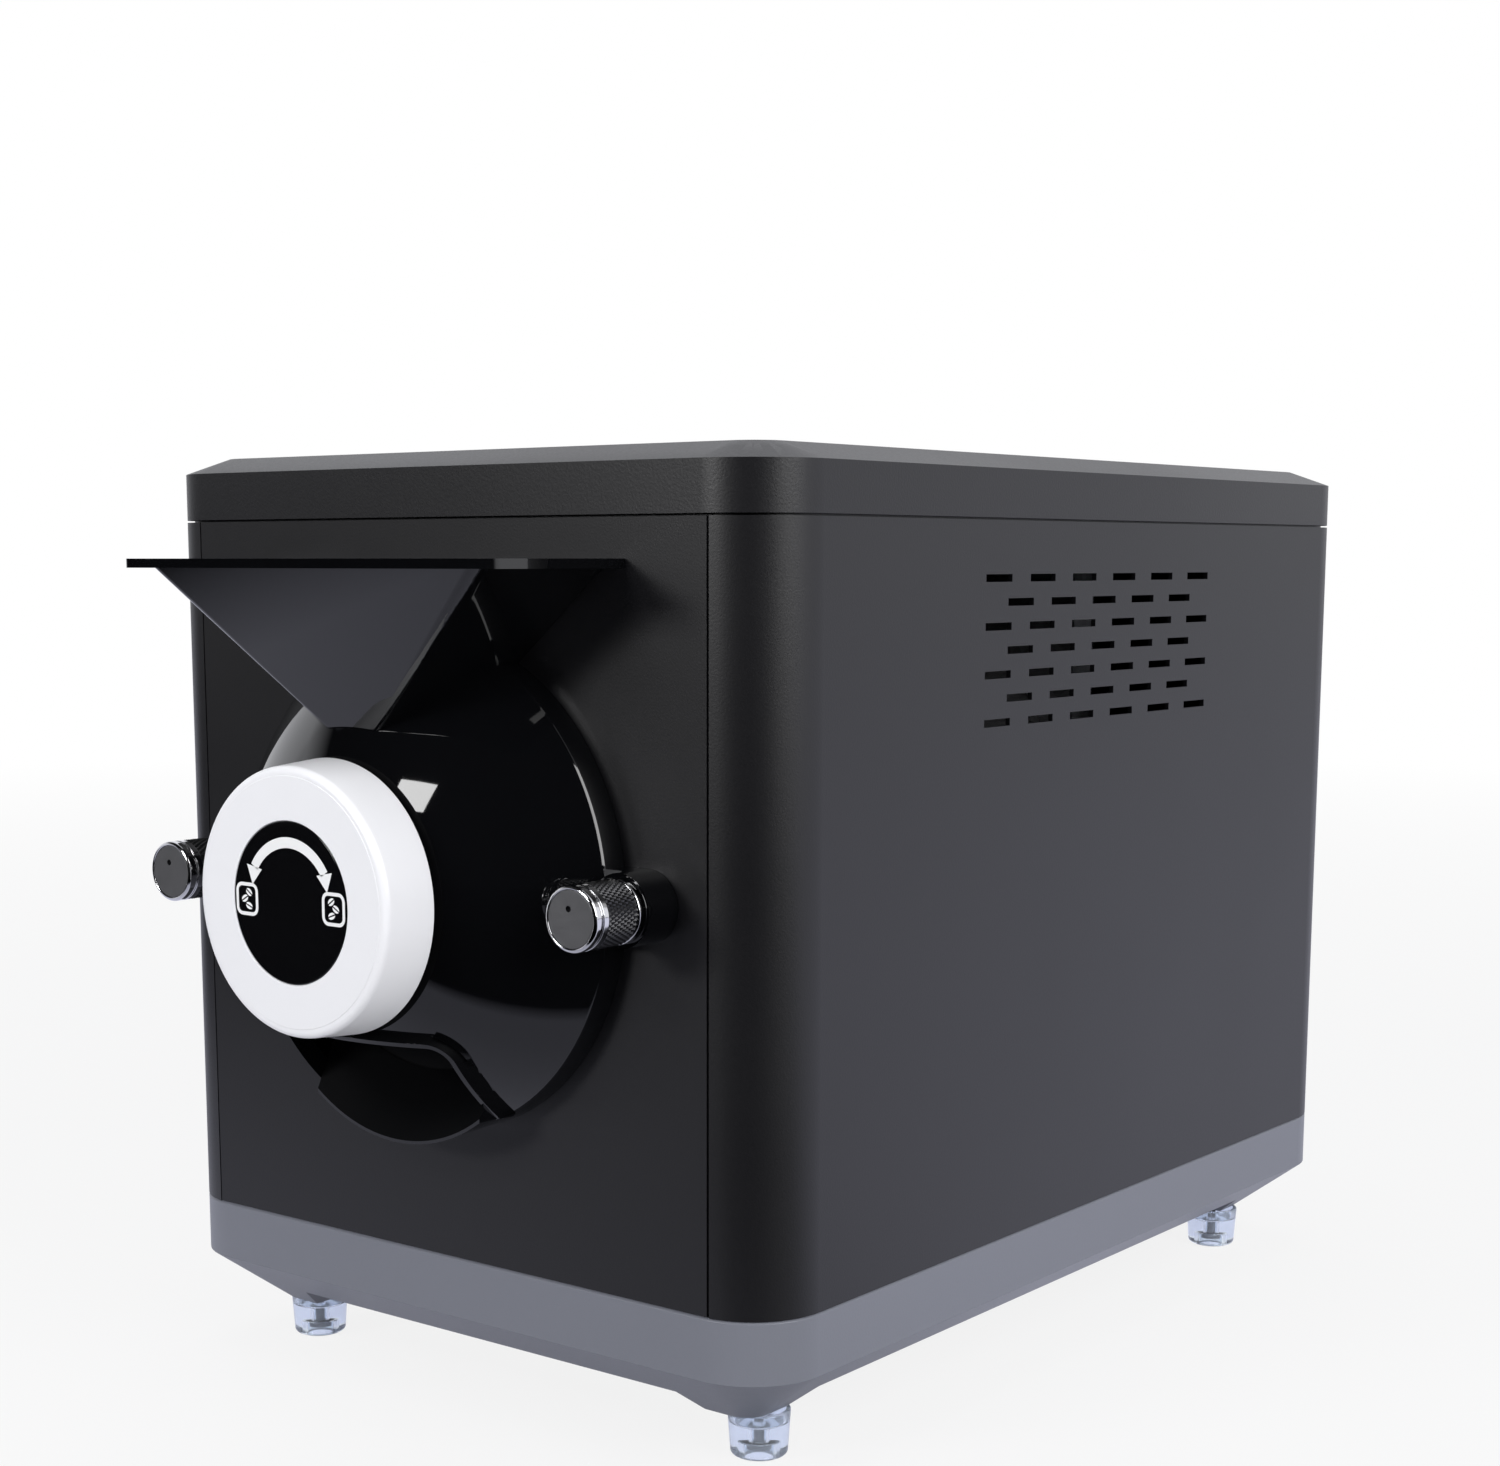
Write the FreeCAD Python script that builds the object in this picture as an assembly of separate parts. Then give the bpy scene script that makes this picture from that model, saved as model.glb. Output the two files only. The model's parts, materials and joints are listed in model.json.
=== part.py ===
import FreeCAD, Part
import math
import os

# Home drum roaster for coffee. Millimetres, +Z up, the front faces -Y.
# The origin lies on the table, under the middle of the whole machine.

V = FreeCAD.Vector

# Cabinet
body_width = 260.0
body_depth = 377.0
corner_radius = 25.0
panel_height = 233.0
sheet = 1.6                     # thickness of the cabinet's sheet steel
seam = 0.7                      # open line between panels, and under the cover
front_seam_x = 107.7            # where the flat panels meet the wrapped sides
knob_reach = 61.5               # front panel to knob face
duct_reach = 22.0               # rear panel to end of exhaust collar

# Base tray and feet
foot_height = 14.8
foot_x = 99.1
foot_y = 151.9
tray_height = 39.1              # foot pads to top edge
tray_wall = 19.8                # upright part of the tray's side
tray_bevel = 24.5               # how far the underside draws in
tray_floor = 3.0
tray_edge = 0.8                 # bevel round the top edge
tray_low_corner = 8.0           # corner radius of the underside
tray_hollow = 20.0              # how far the hollow draws in at its bottom
ledge_inset = 6.0               # the floor plate lies on this ledge
ledge_depth = 3.0
floor_sheet = 1.5
foot_base = 7.7                 # radius of the pad's face
foot_top = 9.9                  # radius at the tray
foot_wall = 1.6
foot_web = (4.5, 10.2)          # heights of the thick web round the screw
foot_well = 4.4                 # radius of the counterbore below
foot_screw_radius = 1.6
foot_screw_head = 3.8
foot_screw_length = 18.5
foot_chamfer = (1.2, 1.4)       # across and up, at the pad's lower edge
foot_draft = 0.2
screw_room = 0.6                # radial room round a screw in a plain hole
pad_relief = 7.1                # tray clears the pads by this
relief_slope = 0.6              # spread of the raised stretch for its height
pad_gap_x = 83.0                # half width of the raised stretch between pads
pad_gap_y = 142.0

# Top cover
cover_skirt = 15.2
cover_bevel_height = 5.3
cover_bevel = 14.7
cover_wall = 4.4
cover_lip = 2.4                 # locating lip, set in from the skirt
cover_lip_depth = 6.0
cover_roof = 2.5                # thickness of the flat top
cover_roof_inset = 1.5          # the hollow's top edge, in from the bevel's
cover_screw = (1.5, 3.2, 4.4)   # screws are: radius, head radius, length
cover_screw_x = 80.0
cover_screw_up = 7.0            # above the seam

# Side vents: rows of slots, every second row set over by half a pitch
slot_length = 15.4
slot_height = 2.4
slot_pitch = 26.5
slot_row_pitch = 7.52
slot_rows = 7
slots_in_row = 6
vent_y = -3.6                   # middle of the vents, from the cabinet's middle
vent_top = 214.4                # top row above the tray
rear_slot_x = 35.0              # first slot of the rear vent
rear_slot_z = 95.0
rear_slot_rows = 5
rear_slots_in_row = 3
panel_gap = 0.2                 # flat panels stand clear of the tray
cutout_gap = 0.3                # openings for the rear fittings
fold_lap = 2.0                  # side sheets fold in this far behind the seam
rear_screw = (1.5, 3.2, 3.0)
rear_screw_x = 99.0
rear_screw_inset = 14.0         # from the panel's top and bottom

# Front hood, on the drum axis
axis_height = 120.4             # drum axis above the tray
mouth_radius = 68.6             # opening in the front panel
hood_radius = 77.8
hood_rim = 9.3                  # upright edge of the hood
hood_edge = 0.8                 # softened corner above the rim
dome_middle = (62.5, 25.5)      # a point on the dome: radius, and distance out
hood_front = 40.5
hood_nose = 42.0                # flat middle of the hood, behind the knob
hood_wall = 3.0
boss_radius = 9.0               # round the selector's shaft
pillar_radius = 3.2             # screw pillars of the back plate
pillar_circle = 71.0
pillar_length = 20.0            # from the front panel
plate_screw = (2.4, 1.3, 1.1, 7.5)  # head radius, radius, head's and whole length
pillar_angles = (40.0, 140.0, 220.0, 320.0)
hood_gap = 0.2                  # hood clear of the front panel
lug_x = 86.2
lug_radius = 11.0
lug_height = 13.5
lug_root = 60.0                 # the lug's bar starts inside the hood here
clear_of_hood = 60.0            # a distance out, beyond everything but the knob

# Discharge spout in the hood, measured down from the axis
spout_top = 43.6
spout_half_top = 35.2
spout_half_bottom = 36.8
spout_corner = 5.0
spout_overrun = 6.0             # the mouth is cut this far past the hood
spout_start = 0.5               # and starts this far in front of the gate
spout_bead = 3.8                # raised edge round the mouth
spout_bead_height = 2.8
spout_bead_slope = 2.5          # the bead's outer side slopes by this
chute_top = 58.5                # chute's floor at the gate
chute_lip = 19.8                # how far the chute's lip stands out
chute_lip_wall = 1.0
chute_lip_half = 35.5
chute_lip_radius = 61.7         # the lip curves tighter than the hood
chute_lip_drop = 18.05          # and about a point below the axis
chute_side = 1.7                # the floor runs into the mouth's sides by this
ramp_half = 30.0                # feed ramp from the hopper's outlet to the gate
ramp_high = 40.0                # its front edge, above the axis
ramp_front = 4.5                # behind the hood's flat nose
ramp_back = 0.8                 # in front of the gate
ramp_drop = 19.5
ramp_sheet = 2.5

# Hopper, measured up from the axis and out from the panel
hopper_top = 100.0
rim_height = 2.8
rim_half_width = 77.8
rim_reach = 57.2
rim_corner = 4.5
funnel_corner_top = 5.0
funnel_corner_bottom = 3.5
funnel_half_top = 73.0
funnel_reach_top = 54.0
funnel_bottom = 49.5
funnel_half_bottom = 12.7
funnel_reach_bottom = 35.3
funnel_back = 0.6
funnel_wall = 2.2
funnel_room = 1.0               # the hood's opening round the funnel's inside
funnel_start = 5.0
hopper_gap = 0.3                # saddle of the hopper, clear of the hood

# Selector: knob, shaft and gate
knob_radius = 41.7
knob_face_radius = 40.2
knob_back = 43.3
knob_plate_radius = 24.2
knob_hub = 9.0
knob_cavity = 38.9              # hollow back of the knob
knob_skin = 2.9                 # knob's front wall
knob_round = 3.0                # soft edge of the knob's face
knob_plate = 0.8                # depth of the face plate's seat
knob_plate_sunk = 0.1           # the plate's face, behind the knob's
knob_plate_gap = 0.2
knob_cavity_round = 1.5
knob_hub_back = 1.2             # the hub ends in front of the knob's back edge
knob_arc = 0.3                  # middle of the soft edge, as a share of its radius
knob_shaft_radius = 5.0
knob_shaft_end = 60.0
knob_shaft_start = 0.5
boss_start = 0.3                # boss in front of the gate
boss_end = 1.0                  # and behind the hood's flat nose
knob_flat = 3.8                 # height of the shaft's flat above its axis
knob_flat_start = 46.0
port_inner = 22.0
port_outer = 58.0
port_half_angle = 32.0
gate_radius = 66.0
plate_back = 0.3                # back plate, out from the front panel
plate_front = 2.3
gate_back = 2.5
gate_front = 5.0
plate_gap = 0.3                 # back plate inside the hood's wall

# Thumb screws
thumb_radius = 9.7
thumb_front = 34.9
thumb_cap = 6.0                 # length of the cap, with a groove round it
thumb_groove = (2.6, 3.5)       # the groove, back from the cap's face
thumb_groove_radius = 9.2
thumb_collar = 9.7
thumb_collar_length = 2.4
thumb_neck = 4.0
thumb_bevel = (0.7, 1.0)        # across and along, at the cap's face
thumb_gap = 0.3                 # collar clear of the lug
grip_radius = 9.4
inlay_radius = 8.2
inlay_seat = 0.8                # the inlay's seat, behind the cap's edge
inlay_sheet = 0.5
stud_radius = 3.0
stud_end = 12.0                 # how far the stud goes behind the panel
nut_radius = 5.8                # over the corners
nut_clear = 0.4                 # the stud goes through the nut by this

# Drum and its chamber, depths measured back from the front panel
drum_radius = 66.0
drum_wall = 1.4
drum_front = 4.0
drum_back = 216.0
drum_shaft_radius = 6.0
chamber_radius = 78.0
chamber_wall = 1.2
jacket_radius = 92.0
jacket_front = 14.0
front_frame_depth = sheet
rear_frame_depth = 226.0
frame_sheet = 2.0
frame_half_width = 95.0
frame_flange = 12.0
frame_screw = (1.9, 3.6, 5.0)
frame_screw_x = 70.0
frame_screw_in = 8.0            # behind the frame's face
plate_hub = 13.0                # radius of the rear plate's hub
plate_hub_length = 10.0
plate_sheet = 2.0
spider_start = 2.0              # behind the drum's front edge
spider_sheet = 4.0
spider_rim = 4.0
spider_hub = 6.0                # the hub stands behind the spokes by this
spoke_count = 3
hub_radius = 11.0               # hubs of the spider and the gear
spoke_half = 3.5
vane_count = 4
vane_half = 0.8                 # half thickness of a vane
vane_height = 18.0
vane_twist = 60.0
vane_steps = 4
vane_start = 12.0               # behind the drum's front edge
vane_end = 14.0                 # in front of the drum's back edge
sunk = 1.0                      # how deep one form runs into another it joins
shaft_tail = 13.0               # behind the bracket's face
shaft_room = 2.0                # radial room round the shaft in sheets
rod_radius = 3.25
rod_circle = 72.0
rod_angles = (230.0, 250.0, 290.0, 310.0)
rod_start = 10.0                # behind the front panel
rod_tail = 10.0                 # behind the rear frame's face
bush_wall = 1.5
bush_flange = 3.0
bush_length = 4.0               # behind the frame
probe_place = (-52.0, 52.0)     # across, and above the axis
probe_radius = 1.5
probe_length = 45.0
probe_nut = (4.0, 4.0)          # radius and length

# Drive: spur gears, then a geared motor on a bracket
gear_module = 2.0
gear_teeth = 30
pinion_teeth = 12
tooth_slack = 0.30              # each tooth is thinner than nominal by this
pressure_angle = 20.0
tooth_tip = 0.95                # above and below the pitch circle, in modules
tooth_root = 1.2
flank_shares = (0.0, 0.35, 0.7, 1.0)
gear_depth = 242.0
gear_face = 8.0
gear_hub = 3.0                  # the gear's hub stands behind it by this
shaft_flat = 5.0                # height of the shaft's flat above its axis
bearing_outer = 14.0
bearing_width = 8.0
bearing_ring = 2.4              # thickness of each race, seen from the end
bearing_groove = 0.8
housing_flange = 23.0           # radius of the inner bearing's housing
housing_wall = 3.0
bracket_depth = 256.0
bracket_sheet = 3.0
bracket_half = 30.0
bracket_foot = 22.0
bracket_step = 10.0             # the top is narrower by this, each side
bracket_shoulder = 10.0         # below the axis
bracket_top = 21.0              # above the axis
bracket_corner = 8.0
bracket_hole = 7.0              # radius, round the motor's shaft
bearing_seat = 3.0              # wall round the outer bearing
motor_shaft_radius = 4.0
gearbox_radius = 21.0
gearbox_length = 24.0
motor_radius = 18.0
motor_length = 44.0
motor_cap = 3.0                 # the motor's end narrows, then a small boss
motor_boss = 7.0
motor_shaft_start = 2.0         # in front of the pinion
motor_screw = (1.5, 2.8, bracket_sheet)
motor_screw_x = 14.5
motor_screw_z = 9.0
gearbox_bore = 12.0             # depth of the hole that takes the shaft
shaft_clear = 1.0               # between a shaft's end and its bore's
running_gap = 0.05              # radial clearance of a shaft that turns

# Exhaust line
exhaust_up = 60.0               # above the drum axis
exhaust_port = 21.0
duct_wall = 1.2
duct_flange = 6.0
collar_radius = 30.0
collar_wall = 2.0
collar_flange = 7.0
fan_depth = 300.0
fan_length = 26.0
fan_bore = 29.5
fan_wall = 2.0
fan_core = 9.0                  # length of the fan's own motor
fan_core_radius = 12.0
fan_strut_half = 1.5
rotor_hub = 11.5
rotor_length = 14.0
rotor_start = 2.0               # behind the fan frame's front
blade_root = 2.5                # blades start this deep in the hub
blade_clear = 1.2               # and end this far inside the ring
fan_pin = 2.0                   # radius of the rotor's stub shaft
blade_count = 7
blade_half_chord = 8.0
blade_half = 0.7
blade_pitch = 38.0

# Rear fittings
inlet_x = -76.0
inlet_z = 88.0
inlet_half = 14.2               # half width and half height of the body
inlet_half_height = 10.7
inlet_flange = (25.0, 12.0)     # half width and half height
inlet_recess = (12.0, 8.0)
inlet_key = 5.0                 # cut corners of the recess
inlet_depth = 14.0
inlet_corner = 4.0
inlet_plate = 2.5               # thickness of the flange
inlet_pin = (1.0, 2.0)          # half width and half height
inlet_pin_end = 4.0             # behind the rear panel's face
inlet_pin_places = ((0.0, 2.5), (-7.0, -2.5), (7.0, -2.5))
fitting_depth = 20.0
switch_z = 128.0
switch_half = 10.2
switch_half_height = 13.7
switch_flange = (12.5, 16.0)
switch_well = (8.5, 12.0)
switch_well_depth = 12.0
switch_corner = 2.0
switch_plate = 2.0
rocker_half = 8.2
rocker_length = 11.0            # half length of the rocker's face
rocker_tilt = 8.0
rocker_pivot = 4.0              # pivot, in from the rear panel
rocker_pin = 1.2
rocker_pin_reach = 9.7
rocker_pin_room = 0.2           # at each end of the pin
rocker_high = 6.4               # face's ends, out from the pivot
rocker_low = 4.8                # face's middle
rocker_shoulder = 1.0
rocker_back = 5.0
rocker_draw = 0.4               # the shoulders are shorter by this

# Control board, on edge inside the right side
board_x = 98.0
board_depths = (262.0, 352.0)   # its two ends, behind the front panel
board_z = (96.0, 166.0)
board_margin = 5.0              # standoffs, in from the board's corners
standoff_radius = 3.0
fin_count = 6
fin_pitch = 5.0
fin_sheet = 2.0
sink_base = 3.0
sink_depth = 20.0
sink_place = (52.0, 34.0, 62.0)  # start along Y, then start and end along Z
# Blocks on the board: depth off it, then start and end along Y and along Z.
relay = (16.0, 10.0, 29.0, 34.0, 50.0)
transformer = (24.0, 10.0, 44.0, 8.0, 30.0)
terminals = (12.0, 52.0, 82.0, 8.0, 20.0)

front_y = (knob_reach - body_depth - duct_reach) / 2
rear_y = front_y + body_depth
middle_y = (front_y + rear_y) / 2
tray_top = foot_height + tray_height
seam_z = tray_top + panel_height
panel_top = seam_z - seam
frame_top = seam_z - cover_lip_depth
axis_z = tray_top + axis_height
shelf_z = tray_top - ledge_depth
floor_z = shelf_z + floor_sheet
exhaust_z = axis_z + exhaust_up
gear_distance = gear_module * (gear_teeth + pinion_teeth) / 2
motor_z = axis_z - gear_distance


# ---- shared ways of making a shape ----

def out(distance):
    return front_y - distance


def deep(distance):
    return front_y + distance


def box(x0, x1, y0, y1, z0, z1):
    return Part.makeBox(x1 - x0, y1 - y0, z1 - z0, V(x0, y0, z0))


def rod_y(radius, y0, y1, x=0.0, z=axis_z):
    low, high = min(y0, y1), max(y0, y1)
    return Part.makeCylinder(radius, high - low, V(x, low, z), V(0, 1, 0))


def rod_z(radius, z0, z1, x, y):
    return Part.makeCylinder(radius, z1 - z0, V(x, y, z0))


def tube_y(inner, outer, y0, y1, x=0.0, z=axis_z):
    return rod_y(outer, y0, y1, x, z).cut(rod_y(inner, y0, y1, x, z))


# A closed line of straight runs and arcs. A step is an end point, or a pair
# of points for an arc: one on its way and its end.
def outline(place, start, *steps):
    edges = []
    first = here = place(*start)
    for step in steps:
        if isinstance(step[0], tuple):
            via, end = place(*step[0]), place(*step[1])
            edges.append(Part.Arc(here, via, end).toShape())
        else:
            end = place(*step)
            edges.append(Part.LineSegment(here, end).toShape())
        here = end
    if here.distanceToPoint(first) > 1e-6:
        edges.append(Part.LineSegment(here, first).toShape())
    return Part.Wire(edges)


# A closed line through corners (a, b, radius), each rounded to its radius.
def rounded(place, corners):
    steps = []
    count = len(corners)
    for index, (a, b, radius) in enumerate(corners):
        if radius == 0:
            steps.append((a, b))
            continue
        corner = V(a, b, 0)
        before = V(*corners[index - 1][:2], 0) - corner
        after = V(*corners[(index + 1) % count][:2], 0) - corner
        half = before.getAngle(after) / 2
        before.normalize()
        after.normalize()
        towards = (before + after).normalize()
        run = radius / math.tan(half)
        reach = radius / math.sin(half) - radius
        enter = corner + before * run
        via = corner + towards * reach
        leave = corner + after * run
        steps.append((enter.x, enter.y))
        steps.append(((via.x, via.y), (leave.x, leave.y)))
    start = steps.pop(0)
    return outline(place, start, *steps)


def at_z(z):
    return lambda x, y: V(x, y, z)


def at_y(y):
    return lambda x, z: V(x, y, z)


def at_x(x):
    return lambda y, z: V(x, y, z)


def prism(wire, move):
    return Part.Face(wire).extrude(move)


def ruled(low, high):
    return Part.makeLoft([low, high], True, True)


# Turned about a line along Y: points are (radius, y).
def turned(start, *steps, x=0.0, z=axis_z):
    wire = outline(lambda radius, y: V(x + radius, y, z), start, *steps)
    return Part.Face(wire).revolve(V(x, 0, z), V(0, 1, 0), 360)


# Turned about an upright line: points are (radius, height).
def turned_upright(x, y, start, *steps):
    wire = outline(lambda radius, z: V(x + radius, y, z), start, *steps)
    return Part.Face(wire).revolve(V(x, y, 0), V(0, 0, 1), 360)


# The cabinet's plan, drawn in by an inset, as a wire at one height.
def plan(z, inset=0.0, radius=None):
    half_x = body_width / 2 - inset
    y0, y1 = front_y + inset, rear_y - inset
    round_by = corner_radius - inset if radius is None else radius
    corners = [(-half_x, y0, round_by), (half_x, y0, round_by),
               (half_x, y1, round_by), (-half_x, y1, round_by)]
    return rounded(at_z(z), corners)


def plan_prism(z0, z1, inset=0.0):
    return prism(plan(z0, inset), V(0, 0, z1 - z0))


def fused(shapes):
    whole = shapes[0]
    for shape in shapes[1:]:
        whole = whole.fuse(shape)
    return whole.removeSplitter()


def turned_copy(shape, degrees, x=0.0, z=axis_z):
    copy = shape.copy()
    copy.rotate(V(x, 0, z), V(0, 1, 0), degrees)
    return copy


# Points (x, z) on a circle about the drum's axis.
def on_circle(radius, angles):
    turns = [math.radians(angle) for angle in angles]
    return [(radius * math.cos(turn), axis_z + radius * math.sin(turn)) for turn in turns]


# A ring sector seen from the front, pushed along Y. The angle is measured
# from +X towards +Z.
def sector(inner, outer, middle, half_angle, y0, y1):
    def point(radius, degrees):
        turn = math.radians(degrees)
        return radius * math.cos(turn), axis_z + radius * math.sin(turn)
    low, high = middle - half_angle, middle + half_angle
    wire = outline(at_y(y0), point(inner, low), point(outer, low),
                   (point(outer, middle), point(outer, high)), point(inner, high),
                   (point(inner, middle), point(inner, low)))
    return prism(wire, V(0, y1 - y0, 0))


def pan_screw(radius, head, length, base, along):
    shank = Part.makeCylinder(radius, length, base, along)
    cap = Part.makeCylinder(head, 0.7 * radius + 0.8, base, along * -1)
    return fused([shank, cap])


# ---- base ----

def base_tray():
    wall_z = tray_top - tray_wall
    relief_z = foot_height + pad_relief
    outside = fused([
        plan_prism(wall_z, tray_top - tray_edge),
        ruled(plan(tray_top - tray_edge), plan(tray_top, tray_edge)),
        ruled(plan(foot_height, tray_bevel, tray_low_corner), plan(wall_z))])
    drop = relief_z - foot_height
    spread = relief_slope * drop
    long_gap = outline(at_y(front_y), (-pad_gap_x, relief_z), (pad_gap_x, relief_z),
                       (pad_gap_x + spread, relief_z - drop), (-pad_gap_x - spread, relief_z - drop))
    cross_gap = outline(at_x(-body_width / 2), (middle_y - pad_gap_y, relief_z),
                        (middle_y + pad_gap_y, relief_z),
                        (middle_y + pad_gap_y + spread, relief_z - drop),
                        (middle_y - pad_gap_y - spread, relief_z - drop))
    tray = outside.cut(prism(long_gap, V(0, body_depth, 0)))
    tray = tray.cut(prism(cross_gap, V(body_width, 0, 0)))
    tray = tray.cut(plan_prism(shelf_z, tray_top, sheet))
    tray = tray.cut(plan_prism(wall_z, shelf_z, ledge_inset))
    tray = tray.cut(ruled(plan(relief_z + tray_floor, tray_hollow, tray_low_corner),
                         plan(wall_z, ledge_inset)))
    for x, y in foot_places():
        tray = tray.cut(rod_z(foot_screw_radius, foot_height, relief_z + tray_floor, x, y))
    return tray


def foot_places():
    return [(x, middle_y + y) for x in (-foot_x, foot_x) for y in (-foot_y, foot_y)]


# Clear cup foot: open top round a screw, and a counterbore below.
def feet():
    low, high = foot_web
    hole = foot_screw_radius + screw_room
    across, up = foot_chamfer
    inner = foot_top - foot_wall
    cups = [turned_upright(x, y, (hole, low), (foot_well, low), (foot_well, 0), (foot_base, 0),
                           (foot_base + across, up), (foot_top, foot_height), (inner, foot_height),
                           (inner - foot_draft, high), (hole, high)) for x, y in foot_places()]
    return Part.makeCompound(cups)


def foot_screws():
    up = V(0, 0, 1)
    return Part.makeCompound([pan_screw(foot_screw_radius, foot_screw_head, foot_screw_length,
                                        V(x, y, foot_web[0]), up) for x, y in foot_places()])


def floor_plate():
    return plan_prism(shelf_z, floor_z, sheet).cut(frame_screws())


# ---- inner frames ----

# A folded upright sheet: U in plan, with a foot flange on the floor plate.
def folded_frame(depth):
    y0, y1 = deep(depth), deep(depth + frame_sheet)
    half = frame_half_width
    end = y1 + frame_flange
    channel = outline(at_z(floor_z), (-half, y0), (half, y0), (half, end),
                      (half - frame_sheet, end), (half - frame_sheet, y1),
                      (-half + frame_sheet, y1), (-half + frame_sheet, end), (-half, end))
    foot = box(-half, half, y0, end, floor_z, floor_z + frame_sheet)
    return fused([prism(channel, V(0, 0, frame_top - floor_z)), foot])


def front_frame():
    frame = folded_frame(front_frame_depth)
    y0, y1 = deep(front_frame_depth), deep(front_frame_depth + frame_sheet)
    frame = frame.cut(rod_y(mouth_radius, y0, y1))
    for side in (-1, 1):
        frame = frame.cut(rod_y(stud_radius + screw_room, y0, y1, side * lug_x))
    return frame.cut(frame_screws())


def rear_frame():
    frame = folded_frame(rear_frame_depth)
    y0, y1 = deep(rear_frame_depth), deep(rear_frame_depth + frame_sheet)
    frame = frame.cut(rod_y(drum_shaft_radius + shaft_room, y0, y1))
    frame = frame.cut(rod_y(exhaust_port, y0, y1, 0, exhaust_z))
    for x, z in rod_places():
        frame = frame.cut(rod_y(rod_radius + bush_wall, y0, y1, x, z))
    return frame.cut(frame_screws())


def frame_screws():
    screws = []
    for depth in (front_frame_depth, rear_frame_depth):
        for x in (-frame_screw_x, frame_screw_x):
            spot = V(x, deep(depth + frame_screw_in), floor_z + frame_sheet)
            screws.append(pan_screw(*frame_screw, spot, V(0, 0, -1)))
    return Part.makeCompound(screws)


# Hexagon nuts welded behind the front frame take the hood's thumb screws.
def weld_nuts():
    y0, y1 = deep(front_frame_depth + frame_sheet), deep(stud_end - nut_clear)
    nuts = []
    for side in (-1, 1):
        corners = [(side * lug_x + x, z) for x, z in on_circle(nut_radius, range(0, 360, 60))]
        nut = prism(outline(at_y(y0), corners[0], *corners[1:]), V(0, y1 - y0, 0))
        nuts.append(nut.cut(rod_y(stud_radius + running_gap, y0, y1, side * lug_x)))
    return Part.makeCompound(nuts)


# ---- cabinet sheets ----

def front_panel():
    panel = box(-front_seam_x + seam / 2, front_seam_x - seam / 2, front_y, deep(sheet),
                tray_top + panel_gap, panel_top)
    panel = panel.cut(rod_y(mouth_radius, front_y, deep(sheet)))
    for side in (-1, 1):
        panel = panel.cut(rod_y(stud_radius + screw_room, front_y, deep(sheet), side * lug_x))
    return panel


# Slots in staggered rows on a flat sheet, through its whole thickness.
def side_slots(x0, x1):
    slots = []
    for row in range(slot_rows):
        short = row % 2
        z = tray_top + vent_top - row * slot_row_pitch
        count = slots_in_row - short
        first = middle_y + vent_y - (count - 1) * slot_pitch / 2
        for place in range(count):
            y = first + place * slot_pitch
            slots.append(box(x0, x1, y - slot_length / 2, y + slot_length / 2,
                             z - slot_height / 2, z + slot_height / 2))
    return Part.makeCompound(slots)


# A side sheet wraps both corners and folds in behind the flat panels.
def side_panel(side):
    skin = plan_prism(tray_top, panel_top).cut(plan_prism(tray_top, panel_top, sheet))
    edge = front_seam_x + seam / 2
    inner, outer = sorted((side * edge, side * body_width / 2))
    panel = skin.common(box(inner, outer, front_y, rear_y, tray_top, panel_top))
    low, high = sorted((side * frame_half_width, side * (edge + fold_lap)))
    for y in (deep(sheet), rear_y - 2 * sheet):
        panel = panel.fuse(box(low, high, y, y + sheet, tray_top, frame_top))
    low, high = sorted((side * (body_width / 2 - sheet), side * body_width / 2))
    return panel.cut(side_slots(low, high)).removeSplitter().cut(rear_panel_screws())


def rear_panel():
    y0, y1 = rear_y - sheet, rear_y
    panel = box(-front_seam_x + seam / 2, front_seam_x - seam / 2, y0, y1,
                tray_top + panel_gap, panel_top)
    panel = panel.cut(rod_y(collar_radius + panel_gap, y0, y1, 0, exhaust_z))
    panel = panel.cut(block(inlet_half + cutout_gap, inlet_half_height + cutout_gap, y0, y1, inlet_z))
    panel = panel.cut(block(switch_half + cutout_gap, switch_half_height + cutout_gap, y0, y1, switch_z))
    for row in range(rear_slot_rows):
        for place in range(rear_slots_in_row):
            x = rear_slot_x + place * slot_pitch
            z = rear_slot_z + row * slot_row_pitch
            panel = panel.cut(box(x - slot_length / 2, x + slot_length / 2, y0, y1,
                                  z - slot_height / 2, z + slot_height / 2))
    return panel.cut(rear_panel_screws())


def rear_panel_screws():
    screws = []
    low, high = tray_top + rear_screw_inset, panel_top - rear_screw_inset
    for x in (-rear_screw_x, rear_screw_x):
        for z in (low, tray_top + panel_height / 2, high):
            screws.append(pan_screw(*rear_screw, V(x, rear_y, z), V(0, -1, 0)))
    return Part.makeCompound(screws)


def top_cover():
    bevel_z = seam_z + cover_skirt
    top_z = bevel_z + cover_bevel_height
    cover = fused([plan_prism(seam_z, bevel_z),
                   ruled(plan(bevel_z), plan(top_z, cover_bevel)),
                   plan_prism(frame_top, seam_z, cover_lip)])
    cover = cover.cut(plan_prism(frame_top, bevel_z, cover_wall))
    cover = cover.cut(ruled(plan(bevel_z, cover_wall),
                            plan(top_z - cover_roof, cover_bevel + cover_roof_inset)))
    return cover.cut(top_cover_screws())


def top_cover_screws():
    z = seam_z + cover_screw_up
    return Part.makeCompound([pan_screw(*cover_screw, V(x, rear_y, z), V(0, -1, 0))
                              for x in (-cover_screw_x, cover_screw_x)])


# ---- roasting chamber ----

def chamber_shell():
    return tube_y(chamber_radius, chamber_radius + chamber_wall,
                  deep(front_frame_depth + frame_sheet), deep(rear_frame_depth))


def insulation_jacket():
    return tube_y(chamber_radius + chamber_wall, jacket_radius,
                  deep(jacket_front), deep(rear_frame_depth))


def rod_places():
    return on_circle(rod_circle, rod_angles)


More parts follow.
